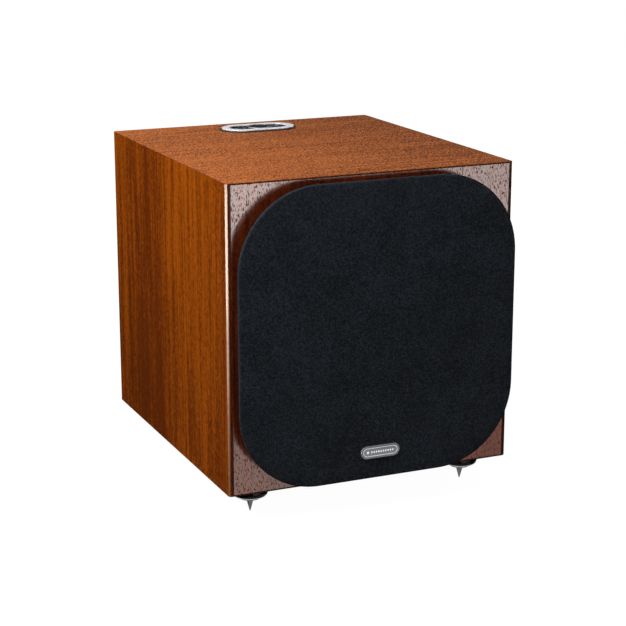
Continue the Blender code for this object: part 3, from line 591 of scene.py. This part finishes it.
def keep_cad_nodes():
    """CAD nodes that stay get their procedural finish, eased edges and smooth shading."""
    shading = smooth_by_angle()
    for name, obj in NODES.items():
        if obj.hide_render:
            continue
        for slot in obj.material_slots:
            slot.material = finish_of(name)
        weld = obj.modifiers.new("weld", "WELD")
        weld.merge_threshold = WELD
        flat = obj.modifiers.new("flat", "DECIMATE")
        flat.decimate_type = "DISSOLVE"
        flat.angle_limit = math.radians(0.5)
        ease_edges(obj, EASE.get(name, USUAL_EASE), 2)
        obj.modifiers.new("smooth", "NODES").node_group = shading
        obj.modifiers.new("even", "WEIGHTED_NORMAL").keep_sharp = True


def smooth_by_angle():
    """Geometry nodes that shade faces smooth and keep edges over 35 degrees sharp."""
    group = bpy.data.node_groups.new("smooth_by_angle", "GeometryNodeTree")
    group.interface.new_socket("Geometry", in_out="INPUT", socket_type="NodeSocketGeometry")
    group.interface.new_socket("Geometry", in_out="OUTPUT", socket_type="NodeSocketGeometry")
    nodes, links = group.nodes, group.links
    source, result = nodes.new("NodeGroupInput"), nodes.new("NodeGroupOutput")
    forget = nodes.new("GeometryNodeRemoveAttribute")
    forget.inputs["Name"].default_value = "custom_normal"
    faces = nodes.new("GeometryNodeSetShadeSmooth")
    edges = nodes.new("GeometryNodeSetShadeSmooth")
    edges.domain = "EDGE"
    edges.inputs["Shade Smooth"].default_value = False
    angle = nodes.new("GeometryNodeInputMeshEdgeAngle")
    over = nodes.new("FunctionNodeCompare")
    over.operation = "GREATER_THAN"
    over.inputs["B"].default_value = math.radians(35)
    links.new(source.outputs[0], forget.inputs["Geometry"])
    links.new(forget.outputs["Geometry"], faces.inputs["Geometry"])
    links.new(faces.outputs["Geometry"], edges.inputs["Geometry"])
    links.new(angle.outputs["Unsigned Angle"], over.inputs["A"])
    links.new(over.outputs["Result"], edges.inputs["Selection"])
    links.new(edges.outputs["Geometry"], result.inputs[0])
    return group


# ---- cabinet
CORNER_RADIUS = 4.5 * MM
EDGE = 0.7 * MM
TRAY_HALF = (45.8 * MM, 23.8 * MM)
PLAY = 0.3 * MM
PAST = 20 * MM
SEAM_SHADE_X = 170 * MM


def make_wrap():
    """The four veneered walls as one mitred shell with rounded upright edges."""
    body = plate(lambda inset: rounded(HALF_WIDTH - inset, HALF_DEPTH - inset, CORNER_RADIUS - inset, 10),
                 eased([(3 * EDGE, BOTTOM), (0, BOTTOM), (0, TOP), (3 * EDGE, TOP)], EDGE, closed=False),
                 (0, MIDDLE_Y, 0))
    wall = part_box("window_brace")
    baffle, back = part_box("front_baffle"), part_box("back_panel")
    gap = Vector((PLAY, 0, PLAY))
    ahead, behind = FRONT - PAST, BACK + PAST
    cutters = [
        box_mesh(Vector((wall[0].x, ahead, wall[0].z)) - gap, Vector((wall[1].x, behind, wall[1].z)) + gap),
        box_mesh(Vector((baffle[0].x, ahead, baffle[0].z)) - gap,
                 Vector((baffle[1].x, BAFFLE_BACK + PLAY, baffle[1].z)) + gap),
        box_mesh(Vector((back[0].x, back[0].y - PLAY, back[0].z)) - gap,
                 Vector((back[1].x, behind, back[1].z)) + gap),
        plate(lambda inset: rounded(*TRAY_HALF, TRAY_HALF[1], 24), [(0, -0.03), (0, 0.01)], DIAL),
    ]
    for _, place in feet():
        cutters.append(turned(mm([(0, 18), (4.4, 18), (4.4, -2), (0, -2)]), place, steps=24))
    mesh = carved(body, cutters, 0.35 * MM)
    # index 3 holds the darker edges and the painted shade of the seam on the strips beside the baffle
    for index, test in ((1, on_flat), (2, inside_cabinet), (4, on_nose), (3, on_rim)):
        paint(mesh, test, index)
    piece("cabinet_wrap", mesh, "cabinet", [SIDE_VENEER, TOP_VENEER, BOARD, DARK_EDGE_AND_SEAM_SHADE, NOSE_VENEER],
          ("left_side_panel", "right_side_panel", "top_panel", "bottom_panel"))


def from_ends(place):
    """How far a place is below the cabinet's top or above its underside, whichever is nearer."""
    return min(TOP - place.z, place.z - BOTTOM)


def on_flat(centre, normal):
    return abs(normal.z) > 0.7 and from_ends(centre) < 3 * MM


def on_nose(_, normal):
    """True on the rounded upright edges."""
    return min(abs(normal.x), abs(normal.y)) > 0.04 and abs(normal.z) < 0.1


def on_rim(centre, normal):
    """True on the eased top and bottom edges and the lip under the baffle, which take a darker edge tone, and
    on the strips beside the baffle, where the seam's shade is painted.
    """
    lip = centre.z < MIDDLE_Z and normal.y < -0.9
    front = centre.y < FRONT + CORNER_RADIUS and normal.y < -0.92
    seam_shade = front and abs(normal.z) < 0.1 and abs(centre.x) > SEAM_SHADE_X
    return seam_shade or from_ends(centre) < 2 * MM and (0.15 < abs(normal.z) < 0.97 or lip)


def inside_cabinet(place, _):
    return (abs(place.x) < HALF_WIDTH - 3 * MM and from_ends(place) > 3 * MM
            and FRONT + MM < place.y < BACK - MM)


def feet():
    """(corner name, place on the cabinet's underside) of each foot."""
    for corner in ("front_left", "front_right", "rear_left", "rear_right"):
        spot = middle(f"spike_{corner}")
        yield corner, Vector((spot.x, spot.y, BOTTOM))


def make_baffle():
    """Veneered board let into the front, with a hole and a rebate for the driver."""
    half = half_size("front_baffle")
    depth = 2 * half.y
    edge = 0.55 * MM
    body = plate(lambda inset: rounded(half.x - inset, half.z - inset, max(0.9 * MM - inset, 0.15 * MM), 4),
                 eased([(3 * edge, -depth), (0, -depth), (0, 0), (3 * edge, 0)], edge, closed=False),
                 (0, FRONT, middle("front_baffle").z), "front")
    hole, rebate = [
        turned(mm([(0, 10), (radius, 10), (radius, -deep), (0, -deep)]), DRIVER, "front", 128)
        for radius, deep in ((142.5, 30), (157, 6.8))]
    mesh = carved(body, [hole, rebate], 0.4 * MM)
    # painted shade: the baffle's side rims take the dark edge veneer, darkening the seam beside the walls
    paint(mesh, lambda centre, normal: abs(normal.x) > 0.15, 2)
    paint(mesh, lambda centre, normal: centre.y > FRONT + 2 * MM)
    stands_for("front_baffle", mesh, [FRONT_VENEER, BOARD, DARK_EDGE_AND_SEAM_SHADE])


def make_feet():
    """Cups with a painted reflection of the floor as a pale band on their lower edge, and the spikes that
    screw through them.
    """
    cup = [(20.3, -0.3), (20.7, -2.0), (21.5, -10.0), (20.8, -13.6), (18.8, -16.0), (15.5, -17.3),
           (4.6, -17.3), (4.6, -0.3)]
    spike = [(0, 12.0), (3.2, 12.0), (4.0, 10.9), (4.0, -17.6), (12.0, -17.6), (12.5, -18.0),
             (12.5, -19.4), (12.0, -19.8), (4.2, -19.8), (4.0, -22.8), (0.45, -36.2), (0, -36.4)]
    painted_reflection_low, painted_reflection_high = BOTTOM - 17.2 * MM, BOTTOM - 14.7 * MM
    for corner, place in feet():
        node = f"foot_cup_{corner}"
        mesh = turned(mm(cup), place, ease=1.2 * MM)
        # painted reflection: a band of pale metal on the cup's lower edge stands in for the floor reflected
        # there
        paint(mesh, lambda centre, normal: painted_reflection_low < centre.z < painted_reflection_high)
        stands_for(node, mesh, [finish_of(node), PALE_METAL])
        stands_for(f"spike_{corner}", turned(mm(spike), place, steps=64, ease=0.25 * MM))


# ---- grille
GRILLE_RADIUS = 97.0 * MM


def make_grille():
    """Cloth pulled over the frame and folded behind it, with painted shade where it rolls over the edge."""
    low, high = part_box("grille_cloth")
    half_u, half_v = (high.x - low.x) / 2, (high.z - low.z) / 2
    face = FRONT - low.y
    back = FRONT - high.y
    place = (0, FRONT, (low.z + high.z) / 2)
    fold, roll, skin = 9 * MM, 2.1 * MM, 0.5 * MM
    rim = eased([(fold, back - skin), (0, back - skin), (0, face), (fold * 2, face)], roll, 8, closed=False)
    flat = [(GRILLE_RADIUS * share, face) for share in (0.35, 0.55, 0.75, 0.92)]

    def outline(inset):
        return rounded(half_u - inset, half_v - inset, max(GRILLE_RADIUS - inset, 2 * MM), 32)

    rings = [[(u, v, h) for u, v in outline(inset)] for inset, h in rim + flat]
    bm = skinned(rings)
    behind = [f for f in bm.faces if len(f.verts) > 4 and f.calc_center_median().z < (back + face) / 2]
    bmesh.ops.delete(bm, geom=behind, context="FACES_ONLY")
    # painted shade: faces that turn away from the front take the darker copy of the knit
    mesh = paint(finished(bm, place, "front", 60), lambda centre, normal: normal.y > -0.93)
    cloth = piece("grille_skin", mesh, "grille", [CLOTH, CLOTH_RIM_SHADE], "grille_cloth")
    thick = cloth.modifiers.new("cloth", "SOLIDIFY")
    thick.thickness = 0.4 * MM
    thick.offset = -1
    make_badge()
    make_magnets()


def make_badge():
    """Metal plate with a raised rim, and a plain outline, dot and dashes raised on its field."""
    half = half_size("badge")
    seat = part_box("grille_cloth")[0].y
    place = Vector((middle("badge").x, seat, middle("badge").z))
    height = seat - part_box("badge")[0].y
    field = height - 0.35 * MM
    top, floor = height / MM, field / MM

    def outline(inset):
        return rounded(half.x - inset, half.z - inset, half.z - inset, 24)

    rim = [(0.8, 0.3), (0.0, 0.3), (0.0, 0.75), (0.45, top), (2.0, top), (2.3, floor), (3.0, floor)]
    mesh = plate(outline, eased(mm(rim), 0.14 * MM, closed=False), place, "front")
    front = seat - field + 0.05 * MM
    paint(mesh, lambda centre, normal: centre.y < front and inside_badge(centre, half))
    stands_for("badge", mesh, [BADGE_RIM, BADGE])

    low, high, edge = field - 0.05 * MM, field + 0.12 * MM, 0.04 * MM
    step, line = 3.0 * MM, 0.5 * MM

    def mark(half_u, half_v, radius, share, steps):
        spot = place + Vector((half.x * share, 0, 0))
        return slab(half_u, half_v, radius, low, high, edge, spot, "front", steps)

    outer = stadium(half.x - step, half.z - step)
    inner = stadium(half.x - step - line, half.z - step - line)
    marks = [frame_ring(outer, inner, low, high, edge, place, "front")]
    marks.append(mark(1.5 * MM, 1.5 * MM, 1.49 * MM, -0.64, 8))
    marks += [mark(0.8 * MM, 1.1 * MM, 0.3 * MM, -0.44 + 0.12 * k, 3) for k in range(10)]
    piece("badge_lines", joined(*marks), "grille", PALE_METAL)


def inside_badge(centre, half):
    """True on the badge's field, inside its rim."""
    du = max(abs(centre.x) - (half.x - half.z), 0)
    reach = math.hypot(du, centre.z - middle("badge").z)
    return reach < half.z - 2.1 * MM


def make_magnets():
    """Steel cups in the baffle and magnets in the frame's bosses, where the grille holds on."""
    centre = middle("grille_frame").z
    reach = 127.5 * MM
    cup = [(0, 0.05), (2.0, 0.05), (2.6, -0.5), (4.8, -0.5), (5.2, 0.15), (6.0, 0.15), (6.0, -3.0),
           (0, -3.0)]
    tip = [(0, 3.0), (5.0, 3.0), (5.0, 0.22), (0, 0.22)]
    spots = [(x, FRONT, z) for x in (-reach, reach) for z in (centre - reach, centre + reach)]
    cups = [turned(mm(cup), spot, "front", 48, 0.1 * MM) for spot in spots]
    tips = [turned(mm(tip), spot, "front", 48, 0.15 * MM) for spot in spots]
    piece("magnet_cups", joined(*cups), "cabinet", STEEL)
    piece("grille_magnets", joined(*tips), "grille", STEEL)


# ---- driver
CONE_NECK, CONE_EDGE = 33.0, 117.0
NECK_HEIGHT, CONE_RISE, BOW = -42.0, 39.0, 0.18


def cone_height(radius):
    """Height of the cone's front face, in millimetres, at a radius between its neck and its edge."""
    t = (radius - CONE_NECK) / (CONE_EDGE - CONE_NECK)
    return NECK_HEIGHT + CONE_RISE * ((1 + BOW) * t - BOW * t * t)


def driver_piece(node, profile, ease=0.0):
    return stands_for(node, turned(mm(profile), DRIVER, "front", 128, ease * MM))


def make_driver():
    """Cone, cap, trim ring, roll, spider and motor, turned from sections in millimetres."""
    radii = [CONE_EDGE - (CONE_EDGE - CONE_NECK) * k / 20 for k in range(21)]
    skin = 1.3
    face = [(r, cone_height(r)) for r in radii]
    driver_piece("cone", [(r, h - skin) for r, h in face] + face[::-1])
    rim, base, rise, wall = 50.0, cone_height(50.0) + 0.8, 11.5, 1.1
    turns = [math.pi / 2 * k / 16 for k in range(17)]
    dome = [(rim * math.cos(a), base + rise * math.sin(a)) for a in turns[:-1]] + [(0, base + rise)]
    under = [(r * (1 - wall / rim), base + (h - base) * (1 - wall / rise)) for r, h in dome]
    driver_piece("dust_cap", list(reversed(dome)) + under)
    make_surround()
    make_spider()
    blocks = [([(145.2, -0.9), (145.2, 1.1), (146.4, 1.2), (154.4, 1.2), (155.9, 0.6), (155.9, -0.9)],
               "driver_trim_ring", 0.3),
              ([(36.0, -80.3), (36.0, -90.3), (78.0, -90.3), (78.0, -80.3)], "top_plate", 0.8),
              ([(44.0, -90.6), (44.0, -125.6), (88.0, -125.6), (88.0, -90.6)], "magnet", 1.5),
              ([(31.7, -30.0), (31.7, -95.0), (32.1, -95.0), (32.1, -30.0)], "voice_coil_former", 0.1),
              ([(32.5, -69.0), (32.5, -101.0), (34.2, -101.0), (34.2, -69.0)], "voice_coil", 0.2),
              ([(30.5, -79.5), (30.5, -125.9), (78.0, -125.9), (78.0, -137.9), (11.0, -137.9),
                (11.0, -79.5)], "pole_yoke", 1.0)]
    for profile, node, ease in blocks:
        driver_piece(node, profile, ease)


def bends_between(obj):
    """Bakes the disc's place and turn into its mesh."""
    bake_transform(obj)


def soft_disc(node, profile):
    obj = loose(turned(mm(profile), DRIVER, "front", 128), f"{node}_fine")
    obj.data.materials.append(finish_of(node))
    bends_between(obj)
    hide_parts(node)


def make_surround():
    """Half-roll of rubber between the cone's edge and the basket."""
    inner, outer, height, skin, base = 116.5, 139.5, 10.0, 1.0, -0.3
    middle_r, half = (inner + outer) / 2, (outer - inner) / 2
    arc = [math.pi * k / 24 for k in range(25)]
    top = [(144.3, base + skin), (141.5, base + skin)]
    top += [(middle_r + half * math.cos(a), base + skin + height * math.sin(a)) for a in arc]
    top += [(inner - 4.3, base - 1.0)]
    below = [(r, h - skin) for r, h in top]
    soft_disc("surround", list(reversed(top)) + below)


def make_spider():
    """Corrugated cloth disc that centres the coil."""
    inner, wavy, outer, waves, base, skin = 32.6, 79.0, 93.5, 3, -56.0, 0.8
    steps = [k / 60 for k in range(61)]
    top = [(inner + (wavy - inner) * t, base + 2.2 * math.sin(2 * math.pi * waves * t)) for t in steps]
    top.append((outer, base))
    below = [(r, h - skin) for r, h in top]
    soft_disc("spider", top + list(reversed(below)))


# ---- top control plate
def stadium(half_u, half_v):
    return half_u, half_v, half_v


def make_controls():
    """Bezel on a rubber gasket that shows as a dark line, the dial and three buttons."""
    low, high = [corner.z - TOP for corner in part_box("control_bezel")]
    outer = half_size("control_bezel")
    step = 1.5 * MM
    bezel = frame_ring(stadium(outer.x - step, outer.y - step), stadium(39.0 * MM, 15.8 * MM),
                       low, high, 0.55 * MM, DIAL)
    stands_for("control_bezel", bezel)
    gasket = frame_ring(stadium(outer.x, outer.y), stadium(outer.x - 2 * step, outer.y - 2 * step),
                        0.05 * MM, 1.0 * MM, 0.15 * MM, DIAL)
    piece("bezel_gasket", gasket, "cabinet", RUBBER)
    make_dial()
    make_buttons()


def make_dial():
    """Black cap with a bright chamfer round its raised face, and a white position dot."""
    face = 3.6
    cap = [(0, face - 0.15), (9.8, face - 0.12), (10.3, face), (11.3, face), (12.1, 2.75), (12.8, 2.0),
           (13.3, 1.7), (13.5, 1.3), (13.5, -0.4), (3.0, -0.4), (3.0, -6.2), (0, -6.2)]
    inner, outer, low = 12.2 * MM, 12.95 * MM, TOP + 1.6 * MM

    def bright(centre, _):
        return inner < math.hypot(centre.x - DIAL.x, centre.y - DIAL.y) < outer and centre.z > low

    mesh = turned(mm(cap), DIAL, steps=120, ease=0.15 * MM)
    stands_for("volume_dial", paint(mesh, bright), [GLOSS_BLACK, DIAL_EDGE])
    dot = turned(mm([(0, 0.08), (0.75, 0.08), (0.75, -0.2), (0, -0.2)]),
                 DIAL + Vector((2.0, 8.0, face)) * MM, steps=24)
    piece("dial_dot", dot, "volume_dial", WHITE_INK)


def make_buttons():
    cap = [(0, 1.15), (2.1, 1.22), (2.9, 1.4), (3.1, 1.1), (3.1, -0.4), (1.5, -0.4), (1.5, -8.0), (0, -8.0)]
    for node in ("standby_button", "source_button", "preset_button"):
        spot = middle(node)
        stands_for(node, turned(mm(cap), (spot.x, spot.y, TOP), steps=48, ease=0.2 * MM))


# ---- amplifier panel
def on_back(node):
    spot = middle(node)
    return Vector((spot.x, BACK, spot.z))


def make_amp_screws():
    """Twelve cross-head screws round the amplifier plate."""
    half, inset, near = half_size("amp_plate"), 7 * MM, 0.34
    u, v = half.x - inset, half.z - inset
    corners = [(su, sv) for su in (-1, 1) for sv in (-1, 1)]
    spots = [(su * u, sv * v * share) for su, sv in corners for share in (1, near)]
    spots += [(su * u * near, sv * v) for su, sv in corners]
    head = [(0, 1.9), (1.6, 1.85), (2.9, 1.4), (3.5, 0.6), (3.6, 0.05), (1.9, 0.05), (1.9, -2.5), (0, -2.5)]
    heads = []
    for x, z in spots:
        place = AMP + Vector((x, 0, z))
        slots = [slab(a * MM, b * MM, 0.2 * MM, 0.8 * MM, 3 * MM, 0.05 * MM, place, "back", 2)
                 for a, b in ((1.9, 0.42), (0.42, 1.9))]
        heads.append(carved(turned(mm(head), place, "back", 32, 0.15 * MM), slots))
    piece("amp_plate_screws", joined(*heads), "cabinet", STEEL)


def make_sockets():
    """Gold phono sockets with a coloured insulator and a centre hole, and the trigger jack."""
    sleeve = [(4.2, 9.1), (4.2, 1.6), (6.2, 1.6), (6.2, 0.3), (4.2, 0.3), (4.2, -12), (1.7, -12), (1.7, 6.0),
              (3.4, 6.0), (3.4, 9.5), (3.9, 9.5)]
    core = [(3.35, 7.6), (3.35, 2.0), (1.75, 2.0), (1.75, 7.6)]
    jack = [(5.2, 2.2), (5.2, 0.3), (3.0, 0.3), (3.0, -12.0), (1.8, -12.0), (1.8, 2.2)]
    colours = {"line_in_left": WHITE_PLASTIC, "line_in_right": RED_PLASTIC, "lfe_input": SATIN_BLACK}
    for node, colour in colours.items():
        place = on_back(node)
        stands_for(node, turned(mm(sleeve), place, "back", 64, 0.2 * MM))
        insulator = turned(mm(core), place, "back", 48, 0.2 * MM)
        piece(f"{node}_insulator", insulator, "cabinet", colour)
    stands_for("trigger_jack", turned(mm(jack), on_back("trigger_jack"), "back", 6, 0.25 * MM))


def make_knob():
    """Ribbed crossover knob with a white pointer, and ticks on the plate round it."""
    place = on_back("crossover_knob")
    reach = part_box("crossover_knob")[1].y - BACK
    ribs, rib_depth = 30, 0.22 * MM
    steps = ribs * 6
    profile = [(0, reach), (7.6 * MM, reach)]
    profile += mm([(8.7, 2.0), (8.7, 0.6), (3.0, 0.6), (3.0, -12), (0, -12)])
    rings = []
    for radius, height in eased(profile, 0.5 * MM, closed=False):
        if radius < 1e-7:
            rings.append([(0, 0, height)])
            continue
        ribbed = radius > 7.55 * MM and 0.8 * MM < height < reach - 0.3 * MM
        ring = []
        for k in range(steps):
            angle = 2 * math.pi * k / steps
            r = radius - (rib_depth * (0.5 - 0.5 * math.cos(ribs * angle)) if ribbed else 0.0)
            ring.append((r * math.cos(angle), r * math.sin(angle), height))
        rings.append(ring)
    stands_for("crossover_knob", finished(skinned(rings), place, "back", 45))
    pointer = slab(0.55 * MM, 3.0 * MM, 0.3 * MM, reach - 0.3 * MM, reach + 0.05 * MM, 0.05 * MM,
                   place + Vector((0, 0, 4.4 * MM)), "back", 3)
    piece("crossover_pointer", pointer, "crossover_knob", WHITE_INK)
    ticks = []
    for k in range(11):
        half_length = (1.4 if k % 5 == 0 else 0.9) * MM
        bar = slab(0.25 * MM, half_length, 0.1 * MM, -0.1 * MM, 0.06 * MM, 0.02 * MM, steps=2)
        bar.transform(Matrix.Translation((0, 12.2 * MM, 0)))
        bar.transform(Matrix.Rotation(math.radians(-140 + 28 * k), 4, "Z"))
        bar.transform(Matrix.Translation(place) @ FACING["back"])
        ticks.append(bar)
    piece("crossover_ticks", joined(*ticks), "cabinet", WHITE_INK)


def make_inlet_pins():
    """Three flat pins in the mains socket."""
    centre = on_back("mains_inlet") + Vector((0, 0, 6.2 * MM))
    pins = [slab(1.0 * MM, 2.0 * MM, 0.3 * MM, -17 * MM, -3.5 * MM, 0.2 * MM,
                 centre + Vector((x, 0, z)) * MM, "back", 3)
            for x, z in ((-7.0, -1.8), (7.0, -1.8), (0.0, 2.2))]
    piece("inlet_pins", joined(*pins), "cabinet", STEEL)


def make_amplifier():
    make_amp_screws()
    make_sockets()
    make_knob()
    make_inlet_pins()


# ---- soft filling
def make_wadding():
    """Polyester pad on the cabinet's floor, lumpy where it isn't pressed flat."""
    low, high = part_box("acoustic_wadding")
    margin, lump, tuft = 4 * MM, 0.018, 6 * MM
    bm = bmesh.new()
    bmesh.ops.create_cube(bm, size=1)
    bmesh.ops.subdivide_edges(bm, edges=bm.edges, cuts=30, use_grid_fill=True)
    inner = high - low - Vector((2 * margin, 2 * margin, 2 * margin))
    for vertex in bm.verts:
        unit = vertex.co.copy()
        away = Vector([math.copysign(abs(2 * c) ** 6, c) for c in unit]).normalized()
        corner = sum(abs(2 * c) ** 8 for c in unit) ** (1 / 8)
        spot = Vector([c / corner * s for c, s in zip(unit, inner)])
        bump = noise.noise(spot / lump) * 2.2 * MM + noise.noise(spot / tuft) * 0.7 * MM
        lift = 0 if unit.z < -0.45 else bump
        vertex.co = spot + away * lift + (low + high) / 2
    stands_for("acoustic_wadding", finished(bm, sharp=80))


# ---- camera, floor and light
LENS = 100.18
CAMERA_PLACE = (-0.8445, FRONT - 1.7443, BOTTOM + 0.7133)
CAMERA_LOOKS = (0.3897, 0.8844, -0.2569)
FLOOR_GLOW = 0.975
WHITE = (1, 1, 1)
SKY = ((0.0, 0.02), (0.10, 0.06), (0.45, 0.22), (1.0, 0.45))
HEART = (0, MIDDLE_Y, 0.25)
AHEAD, ACROSS, UPWARD = (0, 1, 0), (1, 0, 0), (0, 0.001, 1)
# name, place, side (m), power (W); all of them aim at the heart of the cabinet
LAMPS = (
    ("key", (-1.10, -0.30, 1.35), 0.8, 29),
    ("right_fill", (1.9, 1.2, 0.3), 1.0, 12),
    ("back_fill", (-0.4, 2.2, 2.6), 1.4, 7),
)
# name, place, the way it faces, size (m), radiance, colour
CARDS = (
    ("front_left_card", (0.15, -1.15, 0.175), AHEAD, (0.60, 0.45), 4.0, WHITE),
    ("front_right_card", (0.75, -1.15, 0.175), AHEAD, (0.60, 0.45), 3.0, WHITE),
    ("low_left_card", (0.15, -1.15, -0.30), AHEAD, (0.60, 0.50), 1.4, (1, 0.86, 0.80)),
    ("low_right_card", (0.75, -1.15, -0.30), AHEAD, (0.60, 0.50), 1.0, (1, 0.52, 0.40)),
    ("edge_card_high", (-1.14, -0.50, 0.10), ACROSS, (1.6, 0.24), 16, (1, 0.92, 0.80)),
    ("edge_card_middle", (-1.14, -0.50, -0.09), ACROSS, (1.6, 0.14), 6, (1, 0.86, 0.72)),
    ("edge_card_low", (-1.14, -0.50, -0.25), ACROSS, (1.6, 0.18), 1.8, (1, 0.78, 0.55)),
    ("under_card", (0.10, -0.20, -0.50), UPWARD, (1.2, 1.2), 0.5, WHITE),
)


def aimed(name, data, place, towards):
    """A camera or a light at a place, looking along towards."""
    obj = loose(data, name)
    obj.location = place
    obj.rotation_mode = "QUATERNION"
    obj.rotation_quaternion = Vector(towards).to_track_quat("-Z", "Y")
    return obj


def make_camera():
    data = bpy.data.cameras.new("camera")
    data.lens = LENS
    data.clip_end = 60
    bpy.context.scene.camera = aimed("camera", data, CAMERA_PLACE, CAMERA_LOOKS)


def make_floor():
    """Plain pale floor. It is left out of the gloss and of the bounce on the object."""
    bm = bmesh.new()
    bmesh.ops.create_grid(bm, x_segments=8, y_segments=8, size=14)
    floor = loose(finished(bm, (0, 0, -0.5 * MM)), "floor")
    pale = Finish("pale_floor", roughness=0.9, specular_ior_level=0.0, emission_color=(*WHITE, 1),
                  emission_strength=FLOOR_GLOW)
    pale.colour(pale.blend(pale.noise(3), (0.10, 0.10, 0.10), (0.12, 0.12, 0.12)))
    floor.data.materials.append(pale.material)
    floor.visible_glossy = False
    floor.visible_diffuse = False
    floor.visible_shadow = False


def softbox(name, place, towards, size, power, colour=WHITE):
    data = bpy.data.lights.new(name, "AREA")
    data.shape = "RECTANGLE"
    data.size, data.size_y = size
    data.energy = power
    data.color = colour
    light = aimed(name, data, place, towards)
    light.visible_camera = False
    return light


def make_lights():
    """Three lamps, and cards seen only in gloss, which add no light of their own to matt surfaces."""
    for name, place, side, power in LAMPS:
        softbox(name, place, Vector(HEART) - Vector(place), (side, side), power)
    for name, place, towards, size, radiance, colour in CARDS:
        power = radiance * math.pi * size[0] * size[1]
        softbox(name, place, towards, size, power, colour).visible_diffuse = False


def make_world():
    """White for the camera, dim for what reflects it, and dark below the horizon."""
    world = bpy.data.worlds.new("studio")
    world.use_nodes = True
    bpy.context.scene.world = world
    nodes, link = world.node_tree.nodes, world.node_tree.links.new
    paths = nodes.new("ShaderNodeLightPath")
    where = nodes.new("ShaderNodeTexCoord")
    split = nodes.new("ShaderNodeSeparateXYZ")
    ramp = nodes.new("ShaderNodeValToRGB")
    set_stops(ramp, SKY)
    white = nodes.new("ShaderNodeMix")
    white.data_type = "RGBA"
    white.inputs[7].default_value = (*WHITE, 1)
    link(where.outputs["Generated"], split.inputs[0])
    link(split.outputs["Z"], ramp.inputs[0])
    link(paths.outputs["Is Camera Ray"], white.inputs[0])
    link(ramp.outputs[0], white.inputs[6])
    link(white.outputs[2], nodes["Background"].inputs[0])


make_camera()
make_floor()
make_world()
make_lights()
make_wrap()
make_baffle()
make_feet()
make_grille()
make_driver()
make_controls()
make_amplifier()
make_wadding()
keep_cad_nodes()

bpy.context.scene.view_settings.view_transform = "Standard"
bpy.context.scene.view_settings.look = "None"
